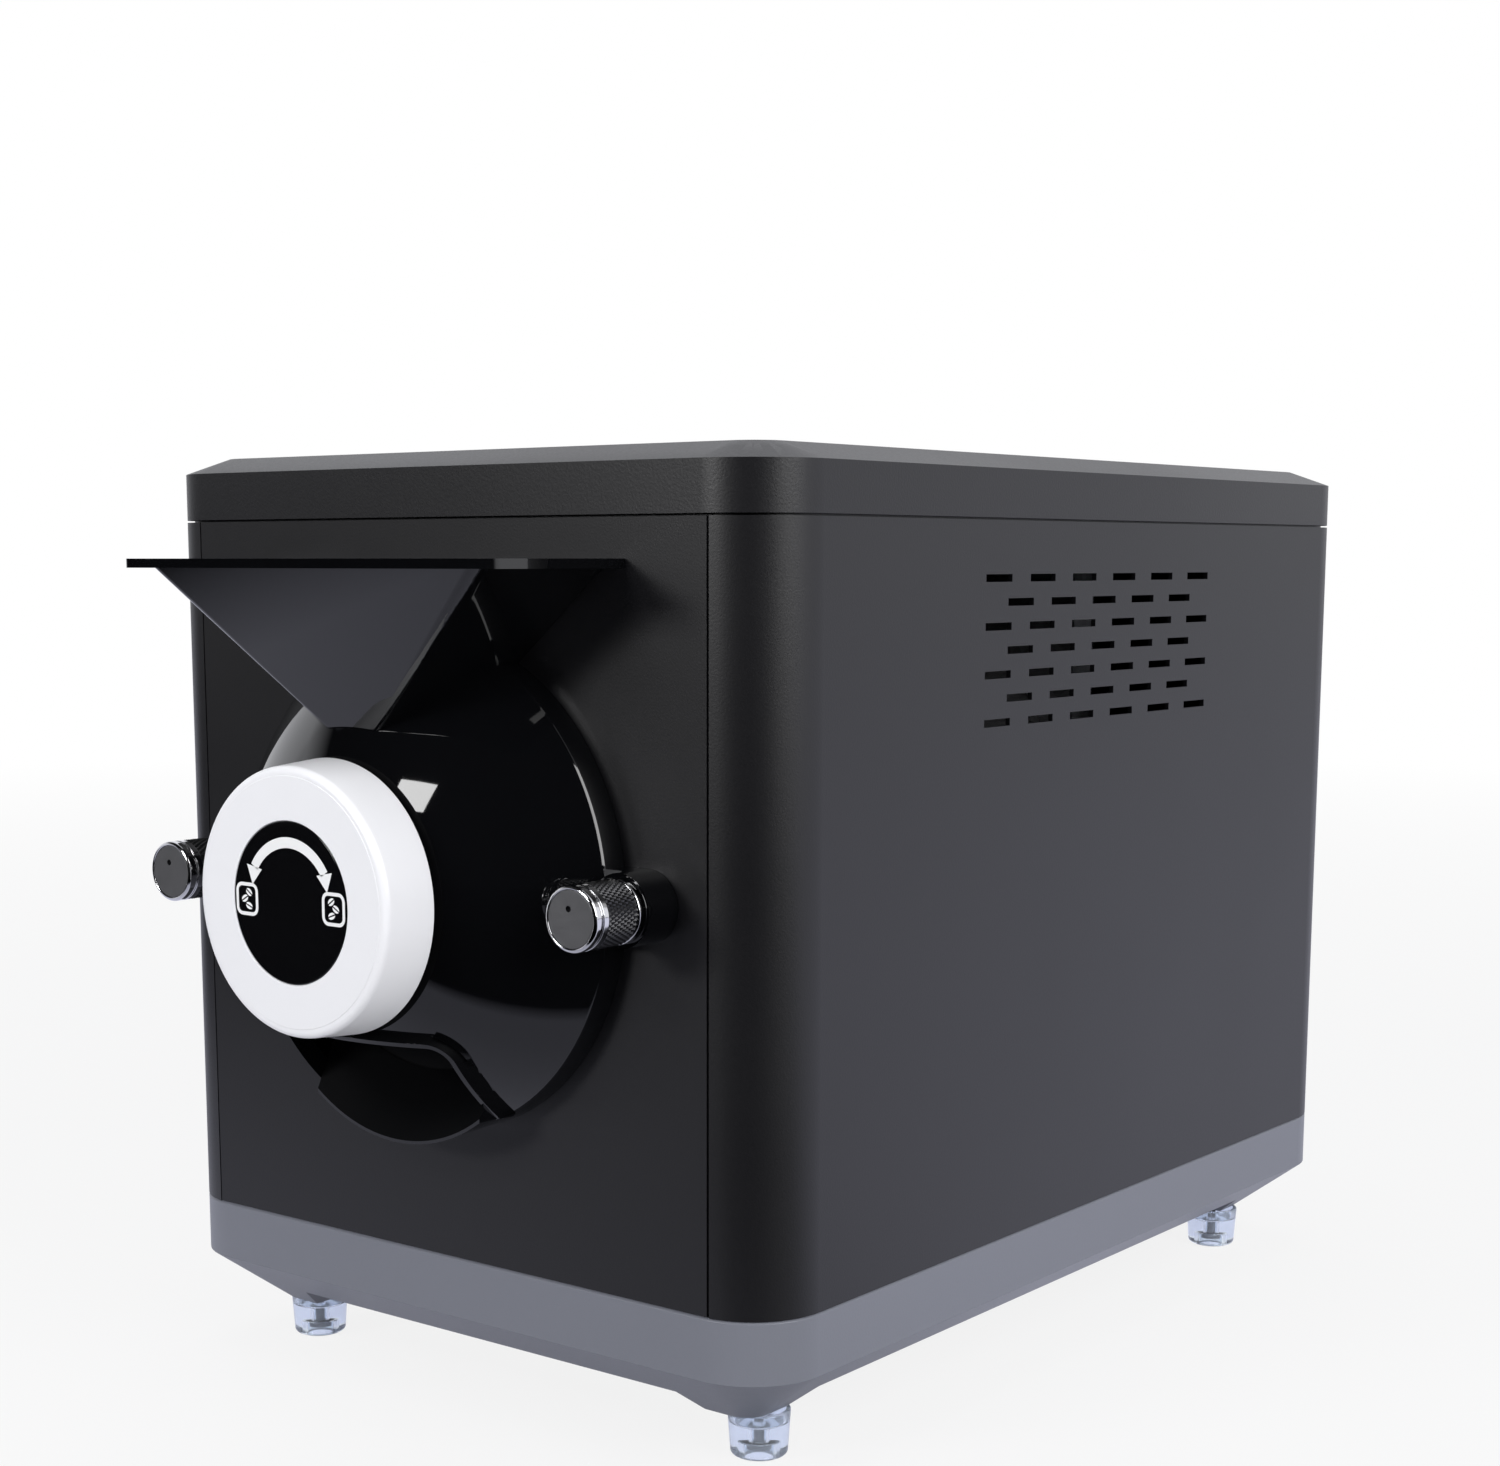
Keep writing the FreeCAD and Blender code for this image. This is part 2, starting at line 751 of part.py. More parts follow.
def heater_rods():
    end = rear_frame_depth + rod_tail
    return Part.makeCompound([rod_y(rod_radius, deep(rod_start), deep(end), x, z)
                              for x, z in rod_places()])


# Ceramic bushes that hold the heater rods in the rear frame.
def heater_bushes():
    y0 = deep(rear_frame_depth)
    y1 = deep(rear_frame_depth + frame_sheet)
    end = y1 + bush_length
    wall, flange = rod_radius + bush_wall, rod_radius + bush_flange
    return Part.makeCompound([turned((rod_radius, y0), (wall, y0), (wall, y1), (flange, y1),
                                     (flange, end), (rod_radius, end), x=x, z=z)
                              for x, z in rod_places()])


def temperature_probe():
    x, z = probe_place[0], axis_z + probe_place[1]
    radius, length = probe_nut
    end = deep(rear_frame_depth)
    return fused([rod_y(probe_radius, end - probe_length, end, x, z),
                  rod_y(radius, end - length, end, x, z)])


# ---- drum ----

def drum_shell():
    return tube_y(drum_radius - drum_wall, drum_radius, deep(drum_front), deep(drum_back))


def drum_rear_plate():
    inside = drum_radius - drum_wall
    back = deep(drum_back)
    face = back - plate_sheet
    front = face - plate_hub_length
    return turned((drum_shaft_radius, front), (plate_hub, front), (plate_hub, face), (inside, face),
                  (inside, back), (drum_shaft_radius, back))


# Three spokes, a hub and a ring carry the open end of the drum on its shaft.
def drum_spider():
    inside = drum_radius - drum_wall
    y0 = deep(drum_front + spider_start)
    y1 = y0 + spider_sheet
    ring = tube_y(inside - spider_rim, inside, y0, y1)
    hub = tube_y(drum_shaft_radius, hub_radius, y0, y1 + spider_hub)
    spoke = box(hub_radius - sunk, inside - spider_rim + sunk, y0, y1,
                axis_z - spoke_half, axis_z + spoke_half)
    return fused([ring, hub] + spokes(spoke))


# Copies of a spoke, evenly round an axis along Y, the first one upright.
def spokes(spoke, z=axis_z):
    return [turned_copy(spoke, 90 + 360 / spoke_count * k, 0, z) for k in range(spoke_count)]


# Mixing vanes: blades on the drum's wall that wind along it.
def drum_vanes():
    inside = drum_radius - drum_wall
    start, end = drum_front + vane_start, drum_back - vane_end
    low, high = axis_z - vane_half, axis_z + vane_half
    root, tip = inside + 2 * sunk, inside - vane_height
    wires = []
    for step in range(vane_steps + 1):
        share = step / vane_steps
        wire = outline(at_y(deep(start + (end - start) * share)),
                       (root, low), (root, high), (tip, high), (tip, low))
        wire.rotate(V(0, 0, axis_z), V(0, 1, 0), vane_twist * share)
        wires.append(wire)
    blade = Part.makeLoft(wires, True, False)
    blade = blade.common(rod_y(inside, deep(start), deep(end)))
    return Part.makeCompound([turned_copy(blade, 360 * k / vane_count) for k in range(vane_count)])


def drum_shaft():
    radius = drum_shaft_radius
    shaft = rod_y(radius, deep(drum_front + sunk), deep(bracket_depth + shaft_tail))
    flat = box(-radius, radius, deep(gear_depth - sunk), deep(gear_depth + gear_face),
               axis_z + shaft_flat, axis_z + radius)
    return shaft.cut(flat)


# ---- drive ----

# One flank of a tooth: points of an involute from the root to the tip, as
# (radius, half angle of the tooth there).
def flank(teeth):
    pitch_radius = gear_module * teeth / 2
    base_radius = pitch_radius * math.cos(math.radians(pressure_angle))
    tip = pitch_radius + tooth_tip * gear_module
    root = pitch_radius - tooth_root * gear_module
    low = max(base_radius, root)
    at_pitch = math.acos(base_radius / pitch_radius)
    half_at_pitch = (math.pi / 2 - tooth_slack / gear_module) / teeth
    points = []
    for share in flank_shares:
        radius = low + (tip - low) * share
        roll = math.acos(base_radius / radius)
        half = half_at_pitch + (math.tan(at_pitch) - at_pitch) - (math.tan(roll) - roll)
        points.append((radius, half))
    if root < low:
        points.insert(0, (root, points[0][1]))
    return points


def toothed_wheel(teeth, y0, y1, z, turn):
    side = flank(teeth)
    corners = []
    for tooth in range(teeth):
        middle = turn + 2 * math.pi * tooth / teeth
        run = [(r, middle - half) for r, half in side] + [(r, middle + half) for r, half in reversed(side)]
        corners += [(r * math.cos(a), z + r * math.sin(a)) for r, a in run]
    return prism(outline(at_y(y0), corners[0], *corners[1:]), V(0, y1 - y0, 0))


def drum_gear():
    y0, y1 = deep(gear_depth), deep(gear_depth + gear_face)
    quarter = -math.pi / 2      # a tooth points down at the pinion
    wheel = toothed_wheel(gear_teeth, y0, y1, axis_z, quarter)
    hub = rod_y(hub_radius, y0, y1 + gear_hub)
    bore = rod_y(drum_shaft_radius, y0, y1 + gear_hub)
    flat = box(-drum_shaft_radius, drum_shaft_radius, y0, y1, axis_z + shaft_flat,
               axis_z + drum_shaft_radius)
    return fused([wheel, hub]).cut(bore.cut(flat))


def motor_pinion():
    y0, y1 = deep(gear_depth), deep(gear_depth + gear_face)
    gap_up = math.pi / 2 + math.pi / pinion_teeth
    wheel = toothed_wheel(pinion_teeth, y0, y1, motor_z, gap_up)
    return wheel.cut(rod_y(motor_shaft_radius, y0, y1, 0, motor_z))


def motor_shaft():
    start = gear_depth - motor_shaft_start
    end = bracket_depth + bracket_sheet + gearbox_bore - shaft_clear
    return rod_y(motor_shaft_radius, deep(start), deep(end), 0, motor_z)


def bearing(depth):
    y0, y1 = deep(depth), deep(depth + bearing_width)
    bore = drum_shaft_radius + running_gap
    inner, outer = bore + bearing_ring, bearing_outer - bearing_ring
    groove = y0 + bearing_groove
    return turned((bore, y0), (inner, y0), (inner, groove), (outer, groove), (outer, y0),
                  (bearing_outer, y0), (bearing_outer, y1), (bore, y1))


def bearing_housing():
    y0 = deep(rear_frame_depth + frame_sheet)
    web, end = y0 + housing_wall, y0 + housing_wall + bearing_width
    hole = drum_shaft_radius + shaft_room
    outer = bearing_outer + housing_wall
    return turned((hole, y0), (housing_flange, y0), (housing_flange, web), (outer, web),
                  (outer, end), (bearing_outer, end), (bearing_outer, web), (hole, web))


def motor_bracket():
    y0, y1 = deep(bracket_depth), deep(bracket_depth + bracket_sheet)
    half, top_half = bracket_half, bracket_half - bracket_step
    shoulder, top = axis_z - bracket_shoulder, axis_z + bracket_top
    corner = bracket_corner
    face = rounded(at_y(y0), [(-half, floor_z, 0), (half, floor_z, 0), (half, shoulder, corner),
                              (top_half, top, corner), (-top_half, top, corner),
                              (-half, shoulder, corner)])
    foot = box(-half, half, y0, y1 + bracket_foot, floor_z, floor_z + bracket_sheet)
    seat = rod_y(bearing_outer + bearing_seat, y0, y1 + bearing_width)
    bracket = fused([prism(face, V(0, bracket_sheet, 0)), foot, seat])
    bracket = bracket.cut(rod_y(bearing_outer, y0 + bracket_sheet, y1 + bearing_width))
    bracket = bracket.cut(rod_y(drum_shaft_radius + shaft_room, y0, y1))
    return bracket.cut(rod_y(bracket_hole, y0, y1, 0, motor_z)).cut(motor_screws())


def drive_gearbox():
    y0 = deep(bracket_depth + bracket_sheet)
    bore = motor_shaft_radius + running_gap
    back = y0 + gearbox_length
    return turned((bore, y0), (gearbox_radius, y0), (gearbox_radius, back), (0, back),
                  (0, y0 + gearbox_bore), (bore, y0 + gearbox_bore), z=motor_z)


def drive_motor():
    y0 = deep(bracket_depth + bracket_sheet + gearbox_length)
    back = y0 + motor_length
    return turned((0, y0), (motor_radius, y0), (motor_radius, back),
                  (motor_radius - motor_cap, back + motor_cap), (motor_boss, back + motor_cap),
                  (motor_boss, back + 2 * motor_cap), (0, back + 2 * motor_cap), z=motor_z)


def motor_screws():
    y = deep(bracket_depth)
    return Part.makeCompound([pan_screw(*motor_screw, V(x, y, motor_z + z), V(0, 1, 0))
                              for x in (-motor_screw_x, motor_screw_x)
                              for z in (-motor_screw_z, motor_screw_z)])


# ---- exhaust ----

def exhaust_duct():
    y0, y1 = deep(rear_frame_depth + frame_sheet), deep(fan_depth)
    flange = exhaust_port + duct_flange
    return turned((exhaust_port, y0), (flange, y0), (flange, y0 + duct_wall),
                  (exhaust_port + duct_wall, y0 + duct_wall), (fan_bore + duct_wall, y1),
                  (fan_bore, y1), z=exhaust_z)


# Fan frame: a ring, three struts and the fan's own motor.
def fan_frame():
    y0, y1 = deep(fan_depth), deep(fan_depth + fan_length)
    ring = tube_y(fan_bore, fan_bore + fan_wall, y0, y1, 0, exhaust_z)
    core = tube_y(fan_pin + running_gap, fan_core_radius, y1 - fan_core, y1, 0, exhaust_z)
    strut = box(fan_core_radius - sunk, fan_bore + fan_wall / 2, y1 - 2 * fan_strut_half, y1,
                exhaust_z - fan_strut_half, exhaust_z + fan_strut_half)
    return fused([ring, core] + spokes(strut, exhaust_z))


# Axial rotor: a hub with pitched blades.
def fan_rotor():
    y0 = deep(fan_depth + rotor_start)
    pin_end = deep(fan_depth + fan_length - shaft_clear)
    hub = rod_y(rotor_hub, y0, y0 + rotor_length, 0, exhaust_z)
    pin = rod_y(fan_pin, y0 + rotor_length, pin_end, 0, exhaust_z)
    blade = box(rotor_hub - blade_root, fan_bore - blade_clear, -blade_half_chord, blade_half_chord,
                -blade_half, blade_half)
    blade.rotate(V(0, 0, 0), V(1, 0, 0), blade_pitch)
    blade.translate(V(0, y0 + rotor_length / 2, exhaust_z))
    blades = [turned_copy(blade, 360 * k / blade_count, 0, exhaust_z) for k in range(blade_count)]
    return fused([hub, pin] + blades)


def exhaust_collar():
    y0, y1 = deep(fan_depth + fan_length), rear_y + duct_reach
    inner, flange = collar_radius - collar_wall, collar_radius + collar_flange
    front = rear_y + collar_wall
    return turned((inner, y0), (collar_radius, y0), (collar_radius, rear_y), (flange, rear_y),
                  (flange, front), (collar_radius, front), (collar_radius, y1), (inner, y1), z=exhaust_z)


# ---- electrics ----

board_y = (deep(board_depths[0]), deep(board_depths[1]))


def board_corners():
    ends = (board_y[0] + board_margin, board_y[1] - board_margin)
    heights = (board_z[0] + board_margin, board_z[1] - board_margin)
    return [(y, z) for y in ends for z in heights]


def control_board():
    return box(board_x, board_x + sheet, *board_y, *board_z)


def board_standoffs():
    start = board_x + sheet
    length = body_width / 2 - sheet - start
    return Part.makeCompound([Part.makeCylinder(standoff_radius, length, V(start, y, z), V(1, 0, 0))
                              for y, z in board_corners()])


def on_board(depth, y0, y1, z0, z1):
    y, z = board_y[0], board_z[0]
    return box(board_x - depth, board_x, y + y0, y + y1, z + z0, z + z1)


def heat_sink():
    start, low, high = sink_place
    places = [start + fin_pitch * k for k in range(fin_count)]
    fins = [on_board(sink_depth, y, y + fin_sheet, low, high) for y in places]
    return fused([on_board(sink_base, start, places[-1] + fin_sheet, low, high)] + fins)


def board_parts():
    blocks = [on_board(*place) for place in (relay, transformer, terminals)]
    return Part.makeCompound(blocks + [heat_sink()])


# A block and a rounded plate, both on the line of the inlet and the switch.
def block(half, half_height, y0, y1, z):
    return box(inlet_x - half, inlet_x + half, y0, y1, z - half_height, z + half_height)


def rounded_plate(half, half_height, corner, y, z, depth):
    corners = [(inlet_x + half * sx, z + half_height * sz, corner)
               for sx, sz in ((-1, -1), (1, -1), (1, 1), (-1, 1))]
    return prism(rounded(at_y(y), corners), V(0, depth, 0))


# Mains inlet: flange, body and a keyed recess.
def mains_inlet():
    flange = rounded_plate(*inlet_flange, inlet_corner, rear_y, inlet_z, inlet_plate)
    body = block(inlet_half, inlet_half_height, rear_y - fitting_depth, rear_y, inlet_z)
    half, high = inlet_recess
    key = inlet_key
    corners = [(-half, -high), (half, -high), (half, high - key), (half - key, high),
               (key - half, high), (-half, high - key)]
    corners = [(inlet_x + x, inlet_z + z) for x, z in corners]
    recess = prism(outline(at_y(rear_y - inlet_depth), corners[0], *corners[1:]), V(0, fitting_depth, 0))
    return fused([flange, body]).cut(recess)


def inlet_pins():
    y0, y1 = rear_y - inlet_depth, rear_y - inlet_pin_end
    half, high = inlet_pin
    pin = box(inlet_x - half, inlet_x + half, y0, y1, inlet_z - high, inlet_z + high)
    return Part.makeCompound([pin.translated(V(x, 0, z)) for x, z in inlet_pin_places])


def switch_housing():
    flange = rounded_plate(*switch_flange, switch_corner, rear_y, switch_z, switch_plate)
    body = block(switch_half, switch_half_height, rear_y - fitting_depth, rear_y, switch_z)
    well = block(*switch_well, rear_y - switch_well_depth, rear_y + switch_plate, switch_z)
    pin = Part.makeCylinder(rocker_pin + running_gap, 2 * rocker_pin_reach,
                            V(inlet_x - rocker_pin_reach, rear_y - rocker_pivot, switch_z), V(1, 0, 0))
    return fused([flange, body]).cut(well).cut(pin)


# Rocker: two sloping faces over a round back, tilted to its off side.
def switch_rocker():
    pivot_y = rear_y - rocker_pivot
    side = rocker_length - rocker_draw
    high, shoulder = pivot_y + rocker_high, pivot_y + rocker_shoulder
    face = outline(at_x(inlet_x - rocker_half), (high, switch_z - rocker_length),
                   (pivot_y + rocker_low, switch_z), (high, switch_z + rocker_length),
                   (shoulder, switch_z + side),
                   ((pivot_y - rocker_back, switch_z), (shoulder, switch_z - side)))
    reach = rocker_pin_reach - rocker_pin_room
    pin = Part.makeCylinder(rocker_pin, 2 * reach, V(inlet_x - reach, pivot_y, switch_z), V(1, 0, 0))
    rocker = prism(face, V(2 * rocker_half, 0, 0)).fuse(pin)
    rocker.rotate(V(0, pivot_y, switch_z), V(1, 0, 0), rocker_tilt)
    return rocker


# ---- hood ----

# The dome's curve, seen as radius against distance out from the panel.
dome_curve = Part.Arc(V(hood_radius - hood_edge, hood_rim, 0), V(*dome_middle, 0),
                      V(hood_nose, hood_front, 0)).toShape().Curve


# Radius of the dome at a distance out, for a surface moved outwards by grow.
def dome_radius(distance, grow):
    reach = dome_curve.Radius + grow
    rise = distance - dome_curve.Center.y
    return dome_curve.Center.x + math.sqrt(reach * reach - rise * rise)


# The hood's outer form: an upright rim, then a dome to a flat nose.
def hood_form(grow=0.0):
    front = hood_front + grow
    middle = dome_middle[1]
    return turned((0, out(hood_gap)), (hood_radius + grow, out(hood_gap)),
                  (hood_radius + grow, out(hood_rim - hood_edge)),
                  (dome_radius(hood_rim, grow), out(hood_rim)),
                  ((dome_radius(middle, grow), out(middle)), (dome_radius(front, grow), out(front))),
                  (0, out(front)))


def hood_hollow():
    inner = hood_radius - hood_wall
    low = hood_rim - hood_edge
    middle = dome_middle[1]
    front = hood_front - hood_wall
    return turned((0, out(0)), (inner, out(0)), (inner, out(low - hood_edge)),
                  (dome_radius(low, -hood_wall), out(low)),
                  ((dome_radius(middle, -hood_wall), out(middle)),
                   (dome_radius(front, -hood_wall), out(front))),
                  (0, out(front)))


def spout_outline(y, margin):
    top = axis_z - spout_top + margin
    low = axis_z - hood_radius - spout_overrun
    half_top = spout_half_top + margin
    half_low = spout_half_bottom + margin
    corner = spout_corner + margin
    return rounded(at_y(y), [(-half_low, low, 0), (half_low, low, 0),
                             (half_top, top, corner), (-half_top, top, corner)])


# The mouth's raised edge, in two steps: a low outer one and a high inner one.
def spout_bead_ring():
    start = out(clear_of_hood)
    back = V(0, clear_of_hood - gate_front - 2 * spout_start, 0)
    low = prism(spout_outline(start, spout_bead), back).common(
        hood_form(spout_bead_height - spout_bead_slope / 2))
    high = prism(spout_outline(start, spout_bead - spout_bead_slope), back).common(
        hood_form(spout_bead_height))
    return fused([low, high]).common(rod_y(hood_radius, start, out(0)))


# A crescent across the chute: a curved floor above a curved underside.
def chute_section(y, half, floor_radius, low_radius, centre_z):
    def point(radius, x):
        return x, centre_z - math.sqrt(radius * radius - x * x)
    return outline(at_y(y), point(floor_radius, -half),
                   (point(floor_radius, 0), point(floor_radius, half)), point(low_radius, half),
                   (point(low_radius, 0), point(low_radius, -half)))


# The chute's floor drops from the gate to a thin lip in front of the hood.
def chute_floor():
    gate_end = chute_section(out(gate_front + spout_start), spout_half_bottom + chute_side,
                             chute_top, hood_radius, axis_z)
    lip_end = chute_section(out(chute_lip), chute_lip_half, chute_lip_radius - chute_lip_wall,
                            chute_lip_radius, axis_z - chute_lip_drop)
    return ruled(gate_end, lip_end)


# Beans slide from the hopper's outlet down this ramp to the gate.
def feed_ramp():
    front, back = out(hood_front - ramp_front), out(gate_front + ramp_back)
    high = axis_z + ramp_high
    line = outline(at_x(-ramp_half), (front, high), (back, high - ramp_drop),
                   (back, high - ramp_drop - ramp_sheet), (front, high - ramp_sheet))
    return prism(line, V(2 * ramp_half, 0, 0)).common(hood_form())


def funnel_wire(z, half, back, reach, corner):
    return rounded(at_z(z), [(-half, out(back), 0), (-half, out(reach), corner),
                             (half, out(reach), corner), (half, out(back), 0)])


# The funnel's solid form between its outlet and its rim, thinned by a wall.
def funnel_form(wall, back):
    low = funnel_wire(axis_z + funnel_bottom, funnel_half_bottom - wall, back,
                      funnel_reach_bottom - wall, funnel_corner_bottom)
    high = funnel_wire(axis_z + hopper_top, funnel_half_top - wall, back,
                       funnel_reach_top - wall, funnel_corner_top)
    return ruled(low, high)


def hood():
    bore = knob_shaft_radius + running_gap
    boss = rod_y(boss_radius, out(gate_front + boss_start), out(hood_front - boss_end))
    lugs = []
    for side in (-1, 1):
        lugs.append(rod_y(lug_radius, out(hood_gap), out(lug_height), side * lug_x))
        low, high = sorted((side * lug_root, side * lug_x))
        lugs.append(box(low, high, out(hood_rim), out(hood_gap), axis_z - lug_radius, axis_z + lug_radius))
    pillars = [rod_y(pillar_radius, out(plate_front), out(pillar_length), x, z).common(hood_form())
               for x, z in pillar_places()]
    shell = fused([hood_form(), spout_bead_ring()] + lugs).cut(hood_hollow())
    shell = shell.cut(prism(spout_outline(out(clear_of_hood), 0.0),
                            V(0, clear_of_hood - gate_front - spout_start, 0)))
    shell = shell.cut(funnel_form(funnel_wall + funnel_room, funnel_start))
    shell = fused([shell, boss, chute_floor(), feed_ramp()] + pillars)
    shell = shell.cut(rod_y(bore, out(0), out(hood_front + sunk)))
    for side in (-1, 1):
        shell = shell.cut(rod_y(stud_radius + running_gap, out(0), out(lug_height), side * lug_x))
    return shell.cut(back_plate_screws())


def pillar_places():
    return on_circle(pillar_circle, pillar_angles)


# Back plate of the hood: a feed port above and a discharge port below.
def hood_back_plate():
    y0, y1 = out(plate_front), out(plate_back)
    plate = rod_y(hood_radius - hood_wall - plate_gap, y0, y1)
    plate = plate.cut(rod_y(knob_shaft_radius + running_gap, y0, y1))
    for middle in (90.0, 270.0):
        plate = plate.cut(sector(port_inner, port_outer, middle, port_half_angle, y0, y1))
    return plate.cut(back_plate_screws())


# Countersunk screws, flush with the plate.
def back_plate_screws():
    back = out(plate_back)
    head, radius, head_length, length = plate_screw
    return Part.makeCompound([turned((0, back), (head, back), (radius, back - head_length),
                                     (radius, back - length), (0, back - length), x=x, z=z)
                              for x, z in pillar_places()])


def hopper():
    wall_top = axis_z + hopper_top
    rim = prism(funnel_wire(wall_top - rim_height, rim_half_width, funnel_back, rim_reach, rim_corner),
                V(0, 0, rim_height))
    funnel = fused([funnel_form(0.0, funnel_back), rim])
    funnel = funnel.cut(funnel_form(funnel_wall, funnel_back + funnel_wall))
    return funnel.cut(hood_form(hopper_gap))


# ---- selector ----

def gate_disc():
    y0, y1 = out(gate_front), out(gate_back)
    gate = rod_y(gate_radius, y0, y1).cut(rod_y(knob_shaft_radius, y0, y1))
    return gate.cut(sector(port_inner, port_outer, 0.0, port_half_angle, y0, y1))


# The space above the shaft's flat, which the knob's key fills.
def knob_key():
    reach = rod_y(knob_shaft_radius, out(knob_shaft_end), out(knob_flat_start))
    return reach.common(box(-knob_shaft_radius, knob_shaft_radius, out(knob_shaft_end), out(knob_flat_start),
                            axis_z + knob_flat, axis_z + knob_shaft_radius))


def knob_shaft():
    return rod_y(knob_shaft_radius, out(knob_shaft_start), out(knob_shaft_end)).cut(knob_key())


# A hollow cap with a tapered side, a soft edge and a seat for its plate.
def selector_knob():
    bore = knob_shaft_radius
    hub_back = knob_back + knob_hub_back
    skin = knob_reach - knob_skin
    edge = knob_reach - knob_round
    seat = knob_plate_radius + knob_plate_gap
    arc = knob_arc * knob_round
    knob = turned((bore, out(hub_back)), (knob_hub, out(hub_back)), (knob_hub, out(skin)),
                  (knob_cavity - knob_cavity_round, out(skin)), (knob_cavity, out(knob_back)),
                  (knob_radius, out(knob_back)), (knob_face_radius, out(edge)),
                  ((knob_face_radius - arc, out(knob_reach - arc)),
                   (knob_face_radius - knob_round, out(knob_reach))),
                  (seat, out(knob_reach)), (seat, out(knob_reach - knob_plate)),
                  (bore, out(knob_reach - knob_plate)))
    return knob.fuse(knob_key()).removeSplitter()


def knob_face_plate():
    return rod_y(knob_plate_radius, out(knob_reach - knob_plate_sunk), out(knob_reach - knob_plate))


# ---- thumb screws ----

collar_back = lug_height + thumb_gap
collar_front = collar_back + thumb_collar_length
cap_back = thumb_front - thumb_cap
groove_front, groove_back = thumb_groove
seat_out = thumb_front - inlay_seat


# A stud, a collar, a neck and a cap with a seat for the inlay.
def thumb_core(side):
    across, along = thumb_bevel
    return turned((0, deep(stud_end)), (stud_radius, deep(stud_end)), (stud_radius, out(collar_back)),
                  (thumb_collar, out(collar_back)), (thumb_collar, out(collar_front)),
                  (thumb_neck, out(collar_front)), (thumb_neck, out(cap_back)),
                  (thumb_radius, out(cap_back)), (thumb_radius, out(thumb_front - groove_back)),
                  (thumb_groove_radius, out(thumb_front - groove_back)),
                  (thumb_groove_radius, out(thumb_front - groove_front)),
                  (thumb_radius, out(thumb_front - groove_front)),
                  (thumb_radius, out(thumb_front - along)), (thumb_radius - across, out(thumb_front)),
                  (inlay_radius, out(thumb_front)), (inlay_radius, out(seat_out)), (0, out(seat_out)),
                  x=side * lug_x)


def thumb_grip(side):
    return tube_y(thumb_neck, grip_radius, out(cap_back), out(collar_front), side * lug_x)


def thumb_inlay(side):
    return rod_y(inlay_radius, out(seat_out + inlay_sheet), out(seat_out), side * lug_x)


nodes = {
    "base_tray": base_tray(),
    "feet": feet(),
    "foot_screws": foot_screws(),
    "floor_plate": floor_plate(),
    "front_frame": front_frame(),
    "rear_frame": rear_frame(),
    "frame_screws": frame_screws(),
    "weld_nuts": weld_nuts(),
    "front_panel": front_panel(),
    "left_side_panel": side_panel(-1),
    "right_side_panel": side_panel(1),
    "rear_panel": rear_panel(),
    "rear_panel_screws": rear_panel_screws(),
    "top_cover": top_cover(),
    "top_cover_screws": top_cover_screws(),
    "chamber_shell": chamber_shell(),
    "insulation_jacket": insulation_jacket(),
    "heater_rods": heater_rods(),
    "heater_bushes": heater_bushes(),
    "temperature_probe": temperature_probe(),
    "drum_shell": drum_shell(),
    "drum_rear_plate": drum_rear_plate(),
    "drum_spider": drum_spider(),
    "drum_vanes": drum_vanes(),
    "drum_shaft": drum_shaft(),
    "drum_gear": drum_gear(),
    "motor_pinion": motor_pinion(),
    "motor_shaft": motor_shaft(),
    "inner_bearing": bearing(rear_frame_depth + frame_sheet + housing_wall),
    "outer_bearing": bearing(bracket_depth + bracket_sheet),
    "bearing_housing": bearing_housing(),
    "motor_bracket": motor_bracket(),
    "drive_gearbox": drive_gearbox(),
    "drive_motor": drive_motor(),
    "motor_screws": motor_screws(),
    "exhaust_duct": exhaust_duct(),
    "fan_frame": fan_frame(),
    "fan_rotor": fan_rotor(),
    "exhaust_collar": exhaust_collar(),
    "control_board": control_board(),
    "board_standoffs": board_standoffs(),
    "board_parts": board_parts(),
    "mains_inlet": mains_inlet(),
    "inlet_pins": inlet_pins(),
    "switch_housing": switch_housing(),
    "switch_rocker": switch_rocker(),
    "hood": hood(),
    "hood_back_plate": hood_back_plate(),
    "back_plate_screws": back_plate_screws(),
    "hopper": hopper(),
    "gate_disc": gate_disc(),
    "knob_shaft": knob_shaft(),
    "selector_knob": selector_knob(),
    "knob_face_plate": knob_face_plate(),
}
for name, side in (("left", -1), ("right", 1)):
    nodes[name + "_thumb_core"] = thumb_core(side)
    nodes[name + "_thumb_grip"] = thumb_grip(side)
    nodes[name + "_thumb_inlay"] = thumb_inlay(side)

os.makedirs("parts", exist_ok=True)
for node, shape in nodes.items():
    shape.exportStep("parts/" + node + ".step")
print(len(nodes), "nodes written")
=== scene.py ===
import json
import math
import bmesh
import bpy
from mathutils import Matrix, Vector


